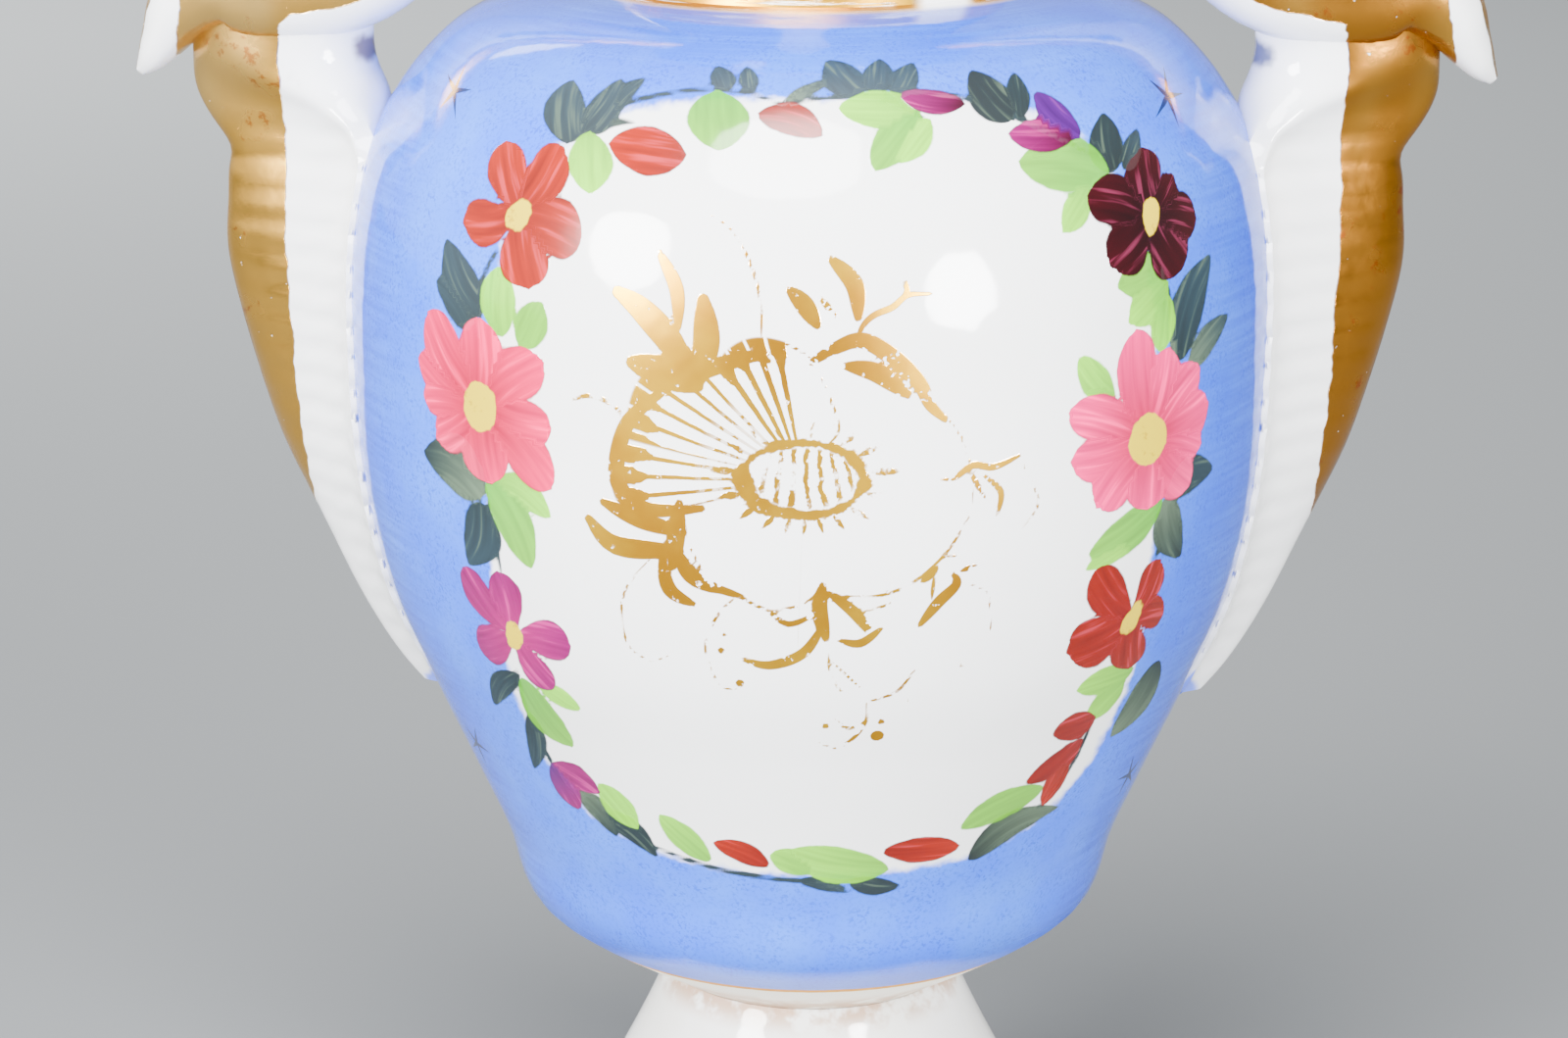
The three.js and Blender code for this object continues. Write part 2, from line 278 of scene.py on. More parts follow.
# The wreath, painted on the front. Across from the panel's middle line and up from its middle.
wreath = {
    "panel": {"middle": (1.5, 0.0), "halfWidth": 49.5, "halfHeight": 58.0, "roundness": 3.1},
    # base across, base up, tip across, tip up, width, bend, colour at the base, colour at the tip
    "darkLeaves": [
        (-34.5, 49.5, -34.5, 59, 7.5, 0.08, "dark", "slate"),
        (-32, 51, -26.5, 60, 5, -0.06, "dark", "slate"),
        (-29, 53.5, -23, 60.5, 3, 0.05, "dark", "slate"),
        (-33.5, 50, -23.5, 53.5, 1.6, 0.1, "greyGreen", "dark"),
        (-48.5, 25, -56, 34, 7.5, 0.1, "dark", "slate"),
        (-50.5, 23, -58, 28.5, 5.5, -0.1, "dark", "slate"),
        (-48.5, 0.5, -61.5, 4, 8.5, -0.12, "greyGreen", "dark"),
        (-49, -1, -52.5, -11, 7.5, 0.12, "dark", "slate"),
        (-44.5, -27, -51, -35, 4.5, -0.1, "dark", "slate"),
        (-43, -34, -44, -45.5, 4.2, 0.08, "dark", "slate"),
        (-35.5, -47, -29, -54.5, 4.5, 0.1, "greyGreen", "dark"),
        (-32, -50, -22.5, -57, 4.5, 0.1, "dark", "dark"),
        (-2, -59, 5, -61.5, 2.6, 0.05, "dark", "slate"),
        (5, -59.5, 12.5, -61, 3.6, -0.05, "dark", "dark"),
        (22.5, -57.5, 38, -51, 5.5, 0.14, "sea", "greyGreen"),
        (56, -28, 47, -40, 7.5, 0.1, "dark", "greyGreen"),
        (54.5, 18, 62.5, 31, 7.5, 0.1, "dark", "slate"),
        (57, 16.5, 67.5, 22, 4.6, 0.05, "greyGreen", "slate"),
        (54, 18.5, 56.5, 28, 4.2, 0.0, "greyGreen", "greyGreen"),
        (53.5, -0.5, 64.5, 1, 5.5, 0.1, "dark", "slate"),
        (53, -1, 57.5, -11, 6.5, -0.1, "greyGreen", "dark"),
        (27, 53.5, 21, 62, 6, 0.06, "sea", "sea"),
        (28, 53.5, 27.5, 61, 4, 0.0, "sea", "dark"),
        (42.5, 44.5, 42, 53, 6.5, 0.05, "sea", "dark"),
        (45, 44.5, 48.5, 50, 3.8, 0.0, "sea", "slate"),
        (-11.5, 59, -13, 63.5, 3.6, 0.0, "slate", "slate"),
        (-8.5, 59, -9, 63.5, 2.8, 0.0, "slate", "slate"),
        (6, 58.5, 1.5, 65, 5.5, 0.05, "slate", "slate"),
        (8, 58.5, 8.5, 65, 4.6, 0.0, "slate", "slate"),
        (10.5, 58, 13, 64, 4.2, 0.0, "slate", "slate"),
        (-4, 57.5, 2.5, 61.5, 2, 0.0, "greyGreen", "slate"),
    ],
    "lightLeaves": [
        (-31, 51.5, -30.5, 43, 7, 0.0, "green", "paleGreen"),
        (-45, 22.5, -45, 32, 6.5, 0.05, "green", "paleGreen"),
        (-41.5, 21.5, -38, 28, 5.5, 0.0, "green", "green"),
        (-48, 2.5, -40.5, -9, 6.5, 0.08, "midGreen", "green"),
        (-46.5, 3, -37, -1, 4.5, 0.1, "green", "paleGreen"),
        (-44, -27.5, -35.5, -38.5, 6, -0.08, "midGreen", "green"),
        (-41, -27.5, -33.5, -31, 3.5, 0.0, "paleGreen", "paleGreen"),
        (-31.5, -44.5, -25.5, -52, 5, 0.0, "paleGreen", "paleGreen"),
        (-22, -48.5, -14.5, -56.5, 4.5, 0.0, "paleGreen", "green"),
        (10.5, -57.5, -3.5, -53.5, 7, 0.05, "green", "paleGreen"),
        (-6, -54, 0, -57.5, 5, 0.05, "paleGreen", "green"),
        (34.5, -46, 21, -51, 5.5, -0.05, "green", "green"),
        (49.5, -27.5, 38.5, -28.5, 5, 0.0, "green", "paleGreen"),
        (48, -29, 41, -35, 5, 0.0, "green", "paleGreen"),
        (52, 31.5, 43, 29.5, 6, 0.0, "green", "green"),
        (52.5, 29, 45, 24.5, 6, 0.0, "green", "paleGreen"),
        (52, 27.5, 51, 19.5, 5, 0.0, "green", "paleGreen"),
        (42.5, 14.5, 36.5, 21, 4.6, 0.05, "green", "paleGreen"),
        (52.5, -1, 39, -7, 6, 0.05, "midGreen", "green"),
        (51, -3.5, 38.5, -9, 4, 0.0, "green", "paleGreen"),
        (42, 44.5, 27.5, 47.5, 8, -0.05, "midGreen", "green"),
        (38.5, 43, 34, 37.5, 4.5, 0.0, "green", "paleGreen"),
        (-13, 59, -12.5, 50, 8.5, 0.0, "midGreen", "green"),
        (14, 56, 3, 56.5, 6, 0.0, "green", "paleGreen"),
        (13.5, 56, 7.5, 47.5, 5.5, 0.0, "midGreen", "green"),
        (15, 54.5, 10.5, 48.5, 5, 0.0, "paleGreen", "paleGreen"),
    ],
    "buds": [
        (-17, 49, -28, 50, 7, 0.0, "red", "softRed"),
        (-7.5, 55.5, 1, 52.5, 5, 0.1, "red", "softRed"),
        (-14, -52.5, -6, -56.5, 4, 0.05, "softRed", "red"),
        (21, -54.5, 9.5, -54, 5, 0.0, "softRed", "red"),
        (43, -35, 35, -36, 5.5, 0.0, "brick", "red"),
        (41, -38.5, 31, -44.5, 4.5, 0.06, "brick", "red"),
        (38.5, -41, 34.5, -50, 4, 0.0, "red", "softRed"),
        (20, 56.5, 11, 58.5, 4, 0.05, "crimson", "magenta"),
        (37.5, 50, 30.5, 57.5, 4.4, 0.05, "violet", "violet"),
        (36.5, 50.5, 26, 51.5, 5, 0.0, "crimson", "magenta"),
        (-40, -43, -31.5, -46.5, 4.8, 0.05, "magenta", "magenta"),
        (-40, -43, -35.5, -51, 5, 0.0, "violet", "magenta"),
    ],
    # heart across and up, its half sizes and turn, petals as angle, length and width,
    # then the petals' colours at the base and the tip
    "flowers": [
        {
            "heart": (-42, 39, 2.6, 1.7, 45),
            "petals": [(110, 10, 7.5), (56, 12, 6.5), (-168, 10.5, 6.5), (-77, 9.5, 8.5), (-12, 10.5, 8)],
            "tones": ("red", "softRed"),
        },
        {
            "heart": (-49, 12.5, 3.2, 3.4, 0),
            "petals": [
                (134, 15.5, 8), (90, 12, 8), (35, 13.5, 7.5), (-6, 12.5, 7), (-37, 15.5, 7),
                (-81, 10.5, 8.5), (-147, 11, 6.5), (-178, 12, 6.5), (160, 14, 5.5),
            ],
            "tones": ("rose", "pink"),
        },
        {
            "heart": (-44.5, -20.5, 1.7, 2.2, 0),
            "petals": [(138, 13, 5.5), (103, 10, 6), (2, 10, 6.5), (-50, 10, 5), (-154, 8.5, 7)],
            "tones": ("plum", "magenta"),
        },
        {
            "heart": (48, -18.5, 1.5, 2.7, -35),
            "petals": [(131, 12, 7), (61, 9.5, 5.5), (-4, 7, 5.5), (-86, 8.5, 7.5), (-166, 12, 8.5)],
            "tones": ("brick", "red"),
        },
        {
            "heart": (49, 8, 3.6, 3.6, 0),
            "petals": [
                (100, 15.5, 7.5), (72, 12.5, 7), (38, 13.5, 6.5), (12, 13.5, 7.5), (-14, 12, 6),
                (-42, 12.5, 7.5), (-88, 10, 8.5), (-138, 12, 8), (-174, 13.5, 6.5), (158, 15, 6.5),
            ],
            "tones": ("rose", "rosePink"),
        },
        {
            "heart": (49.5, 38, 1.7, 2.5, 0),
            "petals": [(95, 9, 7.5), (161, 12, 7), (-146, 9.5, 8), (-52, 10, 8), (-12, 10, 6.5), (40, 7, 5)],
            "tones": ("wine", "crimson"),
        },
    ],
    # points along the stem, width
    "stems": [
        ([(-34.5, 50), (-30, 54), (-25, 56.5), (-17, 58.8), (-10, 59), (-4, 57)], 0.85),
        ([(-3, 57.3), (2, 58.2), (8, 58), (12, 56), (15, 54)], 0.85),
        ([(11, 59), (20, 57.5), (29, 53), (38, 48)], 0.9),
        ([(-45.5, 34), (-48, 30), (-49, 22)], 0.9),
        ([(-49, 4), (-47, -5), (-46, -13)], 0.8),
        ([(-44.5, -26), (-43.5, -34), (-39.5, -43.5), (-33, -50)], 0.85),
        ([(-23, -55), (-14.5, -57.5), (-4, -59), (6, -59.3)], 1.0),
        ([(51, 31), (53, 26), (53.5, 18)], 1.0),
        ([(53.5, 0), (53.5, -5), (51.5, -10)], 0.8),
        ([(43, -34), (39, -44), (33, -51)], 0.8),
    ],
    # across, up, size, turn
    "stars": [(-59, 54, 4.6, 8), (57, 53.5, 5.0, 22), (-60.5, -46.5, 4.4, 20), (56.5, -51.5, 4.4, -10)],
    # across from the middle of the back
    "backStars": [
        (0, 26, 5.5, 0), (-36, 46, 4.8, 12), (36, 44, 4.8, -8), (-24, -22, 4.8, 4), (27, -26, 4.8, 16),
    ],
    # where a stroke is widest, how blunt its ends are, and the step between the strokes' seeds
    "strokeForms": {
        "darkLeaves": (0.42, 0.72, 0.37),
        "lightLeaves": (0.5, 0.62, 0.37),
        "buds": (0.48, 0.66, 0.29),
        "petals": (0.66, 0.5, 0.41),
    },
    "petalBend": 0.05,
    "stemTaper": 0.6,
}

# The gilt flower in the panel. Places and widths as in the wreath.
gilt = {
    "heart": (-1.5, 7.0, 8.0, 4.9),  # across, up, half width, half height
    "reach": (45.0, 50.0),  # no stroke goes further across or up
    # the big petals, ruled with white: from angle, to angle, reach, rim, rays, share of white, left whole
    "petals": [
        (97, 129, 19.5, 2.2, 4.0, 0.62, 1.0),
        (131, 170, 24.0, 2.8, 5.5, 0.8, 0.35),
        (171, 196, 24.6, 3.2, 3.5, 0.8, 0.45),
    ],
    "strokeSteps": 5,
    "strokes": [
        ([(-19.5, 18.5), (-25, 13.5), (-26.8, 7), (-25.5, 3.5), (-22, 1.8), (-15, 2.5)], 2.4, "worn"),
        ([(-19.5, 18.5), (-15.5, 20.5), (-12, 22), (-8, 23.2), (-6.2, 22.6)], 2.2, "full"),
        ([(-0.5, 22.5), (2.5, 24.3), (6, 25.3), (10, 23), (13.5, 19.5), (15, 16.5), (17, 14.5)], 2.3, "worn"),
        ([(4, 22), (8, 21), (12, 18)], 2.6, "worn"),
        ([(17, 15), (19.5, 11.5), (20.8, 6.5), (20.8, 1.5)], 0.35, "faint"),
        ([(-6.5, 23), (-4, 24.8), (-0.5, 23)], 0.35, "faint"),
        ([(0.5, 21), (2.2, 17), (3, 13.5), (1.5, 11.5)], 0.5, "worn"),
        ([(-17, 0), (-16.5, -3), (-14, -7.5), (-10, -9.7), (-6, -11.5), (-1.5, -10.5), (1, -8)], 0.5, "worn"),
        ([(1, -8), (3.5, -9.5), (8.5, -9.5), (13, -7.8), (17.5, -3.8), (20.8, 1.5)], 0.4, "faint"),
        ([(-15.5, 19), (-20, 20.5), (-24.3, 21.5)], 4.2, "full"),
        ([(-16.5, 20), (-19, 24.5), (-23, 28.5), (-26.3, 30.5)], 3.8, "full"),
        ([(-18, 26.5), (-18.2, 31.5), (-20.5, 36)], 2.0, "full"),
        ([(-15, 20), (-14.2, 25), (-14.6, 30.3)], 3.6, "full"),
        ([(5.5, 28.2), (5, 32.5), (2, 35.8)], 2.4, "worn"),
        ([(0.2, 27.3), (-1.5, 30), (-3.3, 31.8)], 2.5, "full"),
        ([(2.7, 28.3), (0.5, 31)], 0.9, "worn"),
        ([(5, 24.5), (6, 27), (7.5, 28.5), (10, 29.5), (12, 31), (15, 31)], 0.9, "full"),
        ([(12, 31), (11.5, 33)], 0.8, "full"),
        ([(-14, 41.5), (-10.5, 39), (-8, 34), (-7, 29), (-7.3, 24)], 0.4, "faint"),
        ([(-33.5, 15.5), (-30.5, 16.5), (-27, 15.5), (-25.5, 13.5)], 0.6, "faint"),
        ([(16.5, 6.5), (18.5, 6.5), (21, 8), (24, 7.5), (27.8, 8.8)], 1.0, "worn"),
        ([(20.5, 7.3), (21.5, 5.5), (22.7, 3.4)], 0.8, "worn"),
        ([(22.5, 6.5), (25, 4), (24.5, 0.8)], 0.9, "full"),
        ([(27.5, 8.5), (29.5, 5), (30.5, 1.5), (28, -1.5)], 0.35, "faint"),
        ([(-28.8, 2.2), (-23.5, 0.3), (-17.5, -1)], 2.5, "full"),
        ([(-31, -0.4), (-27, -3.7), (-18, -3.6)], 2.9, "full"),
        ([(-18, 3), (-18.5, -1.5), (-19, -6)], 2.6, "full"),
        ([(-20.5, -5), (-19.5, -9.3), (-16.3, -11.2)], 2.1, "full"),
        ([(-18.5, -3.5), (-16.5, -7), (-12.5, -9)], 2.4, "worn"),
        ([(-15, -7.7), (-12.5, -8.8), (-9.3, -9.8)], 1.2, "worn"),
        (
            [(-22, -5), (-25.5, -9.5), (-26.5, -14), (-25.5, -18.5), (-22.5, -20.5), (-19.8, -19.5)],
            0.42, "worn",
        ),
        ([(-10, -9.5), (-12.5, -12), (-14.5, -16.5), (-14, -21), (-12, -24), (-9.5, -23.5)], 0.38, "faint"),
        ([(1, -7.8), (0.6, -11.5), (1.5, -15.8)], 2.2, "worn"),
        ([(1.2, -13.5), (-1.5, -18), (-6, -20), (-9.5, -19.2)], 1.6, "worn"),
        ([(1.8, -9), (5, -11.7), (7.8, -15.6)], 1.7, "worn"),
        ([(3.2, -16), (6, -16.6), (8.8, -14.4)], 1.3, "full"),
        ([(-6.3, -11.5), (-3.5, -13.6), (0.2, -12)], 0.9, "worn"),
        ([(2.5, -9), (6, -9.6), (12, -8.5)], 0.42, "worn"),
        ([(4.5, -11), (7.5, -11.5), (11.8, -10)], 0.42, "worn"),
        ([(1.5, -16), (2, -20.5), (3.5, -24), (7, -26)], 0.36, "faint"),
        ([(2, -19), (6, -23.5)], 0.33, "faint"),
        ([(7, -26), (11, -24.5), (13.5, -21)], 0.36, "faint"),
        ([(7, -26), (7, -29), (5.5, -32), (3, -34), (0.5, -33)], 0.6, "worn"),
        ([(2.5, -28.5), (4.5, -30.5), (6.7, -29.5)], 0.6, "worn"),
        ([(14, -14.2), (16.5, -11), (19, -8.5), (18.5, -7)], 1.7, "full"),
        ([(14.3, -7.7), (16.2, -5.8)], 1.5, "full"),
        ([(15.5, -10.5), (16, -6.5)], 0.6, "worn"),
        ([(16.5, -4), (19, -4.5)], 0.4, "faint"),
        ([(19.5, -6.6), (21.7, -6)], 0.8, "worn"),
        ([(20.5, -8.5), (23.5, -10.5), (24, -16)], 0.3, "faint"),
    ],
    "dots": [
        (8.5, -32, 0.95), (9, -29.5, 0.5), (1.5, -30, 0.5), (20, -21, 0.35), (12.5, -26, 0.3),
        (-10, -23, 0.6), (-12.5, -18, 0.5), (-12, -15.5, 0.35),
    ],
}


# Outlines of the turned forms

def smoothLine(points, steps):
    # a curve through the points, each stretch cut into equal steps
    p = np.array(points, float)
    made = []
    for i in range(len(p) - 1):
        before = p[max(i - 1, 0)]
        after = p[min(i + 2, len(p) - 1)]
        leave = (p[i + 1] - before) / 2
        arrive = (after - p[i]) / 2
        t = np.arange(steps)[:, None] / steps
        made.append(
            (2 * p[i] - 2 * p[i + 1] + leave + arrive) * t**3
            + (-3 * p[i] + 3 * p[i + 1] - 2 * leave - arrive) * t**2
            + leave * t
            + p[i]
        )
    made.append(p[-1:])
    return np.concatenate(made)


shoulderTop = vessel["bodyBase"] + vessel["bodyHeight"]


def bodyLine(v):
    points = [(v["jointRadius"], v["bodyBase"])]
    points += [(r * v["bodyRadius"], v["bodyBase"] + h * v["bodyHeight"]) for h, r in v["bodyOutline"]]
    points.append((v["neckBaseRadius"] + v["neckShoulder"], shoulderTop))
    return smoothLine(points, v["outlineSteps"])


def neckLine(v):
    waist = v["neckWaistRadius"]
    spread = v["mouthRadius"] - waist
    points = [(v["neckBaseRadius"], shoulderTop + v["neckBandHeight"])]
    points += [(waist + r * spread, shoulderTop + h * v["neckHeight"]) for h, r in v["neckOutline"]]
    points.append((v["mouthRadius"], shoulderTop + v["neckHeight"] - v["wall"] / 2))
    return smoothLine(points, v["outlineSteps"])


def lengthsAlong(line):
    return np.concatenate([[0], np.cumsum(np.hypot(*np.diff(line, axis=0).T))])


bodyOutline = bodyLine(vessel)
neckOutline = neckLine(vessel)


def radiusAt(z):
    line = np.concatenate([bodyOutline, neckOutline])
    return np.interp(z, line[:, 1], line[:, 0])


def stops(zones):
    # evenly spaced stops in each zone, with the spacing nearest to the wanted one
    made = []
    for start, end, step in zones:
        count = round((end - start) / step)
        made.append(np.arange(count) * (end - start) / count + start)
    return np.concatenate(made)


def ramp(x, low, high):
    # 0 at low, 1 at high
    return np.clip((x - low) / (high - low), 0, 1)


# Meshes are put together from blocks of points and faces with painted values at each point.
# wall: across, up, inside the panel. layers: inside the light leaves, petals, hearts.
# gilding: inside the full, worn and faint strokes. lie: along and across a stroke, its seed.
# finish: on the wall the gap to the leaf and inside the dark leaves, on the handles inside gold, and inside
# blue paint and the painted shade at the stems' roots.

paintNames = ("wall", "layers", "gilding", "darkTone", "leafTone", "petalTone", "lie", "finish")
farOutside = -20.0


class Clay:
    def __init__(self):
        self.points = []
        self.faces = []
        self.slots = []
        self.paint = {name: [] for name in paintNames}
        self.count = 0

    def add(self, points, paint=None):
        first = self.count
        self.points.append(points)
        self.count += len(points)
        for name in paintNames:
            given = (paint or {}).get(name)
            self.paint[name].append(np.zeros((len(points), 3)) if given is None else given)
        return first

    def face(self, faces, slot=0):
        self.faces += [tuple(int(i) for i in f) for f in faces]
        self.slots += [slot] * len(faces)

    def ringToRing(self, a, b, closed=True, slot=0):
        # a and b are (first point, angles), and the skin between them is turned outwards
        first, angles = a
        second, others = b
        if len(angles) == len(others):
            n = len(angles)
            i = np.arange(n if closed else n - 1)
            j = (i + 1) % n
            self.face(np.stack([first + i, first + j, second + j, second + i], 1), slot)
            return
        i = j = 0
        made = []
        turnA = np.append(angles, angles[0] + 2 * math.pi)
        turnB = np.append(others, others[0] + 2 * math.pi)
        while i < len(angles) or j < len(others):
            nextA = turnA[i + 1] if i < len(angles) else math.inf
            nextB = turnB[j + 1] if j < len(others) else math.inf
            low = first + i % len(angles)
            high = second + j % len(others)
            if nextA <= nextB:
                i += 1
                made.append((low, first + i % len(angles), high))
            else:
                j += 1
                made.append((low, second + j % len(others), high))
        self.face(made, slot)

    def fan(self, middle, ring, upwards, slot=0):
        first, angles = ring
        n = len(angles)
        i = np.arange(n)
        j = (i + 1) % n
        pair = (first + i, first + j) if upwards else (first + j, first + i)
        self.face(np.stack([np.full(n, middle), *pair], 1), slot)

    def finished(self, name, materials):
        mesh = bpy.data.meshes.new(name)
        mesh.from_pydata((np.concatenate(self.points) * mm).tolist(), [], self.faces)
        for key in paintNames:
            values = np.concatenate(self.paint[key]).astype(np.float32)
            if np.any(values):
                attribute = mesh.attributes.new(key, "FLOAT_VECTOR", "POINT")
                attribute.data.foreach_set("vector", values.ravel())
        for material in materials:
            mesh.materials.append(material)
        mesh.polygons.foreach_set("material_index", self.slots)
        mesh.validate()
        mesh.update()
        mesh.shade_smooth()
        mesh.set_sharp_from_angle(angle=math.radians(48))
        made = placed(name, mesh)
        print(name, "has", sum(len(p.vertices) - 2 for p in mesh.polygons), "triangles")
        return made


# Painted strokes, as distances inside their edges

def leafStroke(s, t, base, tip, width, bend, widest, point):
    length = math.hypot(tip[0] - base[0], tip[1] - base[1])
    ax, ay = (tip[0] - base[0]) / length, (tip[1] - base[1]) / length
    along = ((s - base[0]) * ax + (t - base[1]) * ay) / length
    across = -(s - base[0]) * ay + (t - base[1]) * ax
    within = np.clip(along, 0, 1)
    across = across - bend * length * np.sin(math.pi * within)
    share = within ** (math.log(0.5) / math.log(widest))
    half = width / 2 * np.sin(math.pi * share) ** point
    beyond = np.abs(along - within) * length
    inside = half - np.abs(across)
    outside = -np.hypot(beyond, np.maximum(np.abs(across) - half, 0))
    return np.where(beyond > 0, outside, inside), within, across / (width / 2)


def lineStroke(s, t, points, width, taper=0.35):
    line = smoothLine(points, gilt["strokeSteps"]) if len(points) > 2 else np.array(points, float)
    total = lengthsAlong(line)
    best = np.full(s.shape, farOutside)
    for i in range(len(line) - 1):
        a, b = line[i], line[i + 1]
        d = b - a
        u = np.clip(((s - a[0]) * d[0] + (t - a[1]) * d[1]) / max(d @ d, 1e-9), 0, 1)
        reach = (total[i] + u * (total[i + 1] - total[i])) / total[-1]
        half = width / 2 * (taper + (1 - taper) * np.sin(math.pi * np.clip(reach, 0.02, 0.98)) ** 0.7)
        best = np.maximum(best, half - np.hypot(s - a[0] - u * d[0], t - a[1] - u * d[1]))
    return best


def layStrokes(wanted):
    # wanted holds (distance, along, across, base tone, tip tone, seed)
    # a point takes the stroke that it lies deepest in
    shape = wanted[0][0].shape
    best = np.full(shape, farOutside)
    tone = np.zeros(shape + (3,))
    lie = np.zeros(shape + (3,))
    for distance, along, across, low, high, seed in wanted:
        top = (distance > best)[..., None]
        share = np.clip(along, 0, 1)[..., None] ** 0.8
        mixed = np.array(low[:3]) * (1 - share) + np.array(high[:3]) * share
        tone = np.where(top, mixed, tone)
        lie = np.where(top, np.stack([along, across, np.full(shape, seed)], -1), lie)
        best = np.maximum(best, distance)
    return best, tone, lie


def leafStrokes(s, t, group):
    widest, blunt, seedStep = wreath["strokeForms"][group]
    made = []
    for i, (bs, bt, ts, tt, width, bend, low, high) in enumerate(wreath[group]):
        stroke = leafStroke(s, t, (bs, bt), (ts, tt), width, bend, widest, blunt)
        made.append((*stroke, enamel[low], enamel[high], i * seedStep % 1 + 0.01))
    return made


def flowerStrokes(s, t):
    # the petals of all flowers, and how far inside a heart each point lies
    widest, blunt, seedStep = wreath["strokeForms"]["petals"]
    petals = []
    hearts = np.full(s.shape, farOutside)
    for i, flower in enumerate(wreath["flowers"]):
        x, y, wide, high, turn = flower["heart"]
        low, end = (enamel[name] for name in flower["tones"])
        for k, (angle, length, width) in enumerate(flower["petals"]):
            a = math.radians(angle)
            tip = (x + length * math.cos(a), y + length * math.sin(a))
            bend = wreath["petalBend"] * (-1) ** k
            stroke = leafStroke(s, t, (x, y), tip, width, bend, widest, blunt)
            petals.append((*stroke, low, end, (k * seedStep + i * 0.2) % 1 + 0.01))
        a = math.radians(turn)
        u = (s - x) * math.cos(a) + (t - y) * math.sin(a)
        v = -(s - x) * math.sin(a) + (t - y) * math.cos(a)
        hearts = np.maximum(hearts, (1 - np.hypot(u / wide, v / high)) * min(wide, high))
    return petals, hearts


def paintFront(s, t):
    # the dark leaves with stems, the light leaves, then the petals and hearts
    dark = leafStrokes(s, t, "darkLeaves")
    half = np.full(s.shape, 0.5)
    for points, width in wreath["stems"]:
        inside = lineStroke(s, t, points, width, wreath["stemTaper"])
        dark.append((inside, half, half * 0, enamel["slate"], enamel["dark"], 0.3))
    petals, hearts = flowerStrokes(s, t)
    darkEdge, darkTone, darkLie = layStrokes(dark)
    leafEdge, leafTone, leafLie = layStrokes(leafStrokes(s, t, "lightLeaves"))
    petalEdge, petalTone, petalLie = layStrokes(leafStrokes(s, t, "buds") + petals)
    lie = np.where((leafEdge > -0.4)[..., None], leafLie, darkLie)
    lie = np.where((petalEdge > -0.4)[..., None], petalLie, lie)
    tones = {"darkTone": darkTone, "leafTone": leafTone, "petalTone": petalTone, "lie": lie}
    return darkEdge, np.stack([leafEdge, petalEdge, hearts], 1), tones


def paintGilt(s, t):
    # x is full gilding, y is worn, z is faint
    layers = {wear: np.full(s.shape, farOutside) for wear in ("full", "worn", "faint")}
    across, up = gilt["reach"]
    near = (np.abs(s) < across) & (np.abs(t) < up)
    for points, width, wear in gilt["strokes"]:
        inside = np.full(s.shape, farOutside)
        inside[near] = lineStroke(s[near], t[near], points, width)
        layers[wear] = np.maximum(layers[wear], inside)
    for x, y, radius in gilt["dots"]:
        layers["full"] = np.maximum(layers["full"], radius - np.hypot(s - x, t - y))
    return np.stack(list(layers.values()), -1)


def panelEdge(s, t):
    p = wreath["panel"]
    x = np.abs(s - p["middle"][0]) / p["halfWidth"]
    y = np.abs(t - p["middle"][1]) / p["halfHeight"]
    share = (x ** p["roundness"] + y ** p["roundness"]) ** (1 / p["roundness"])
    return np.clip((1 - share) * p["halfWidth"], -30, 60)


# The body and neck, turned

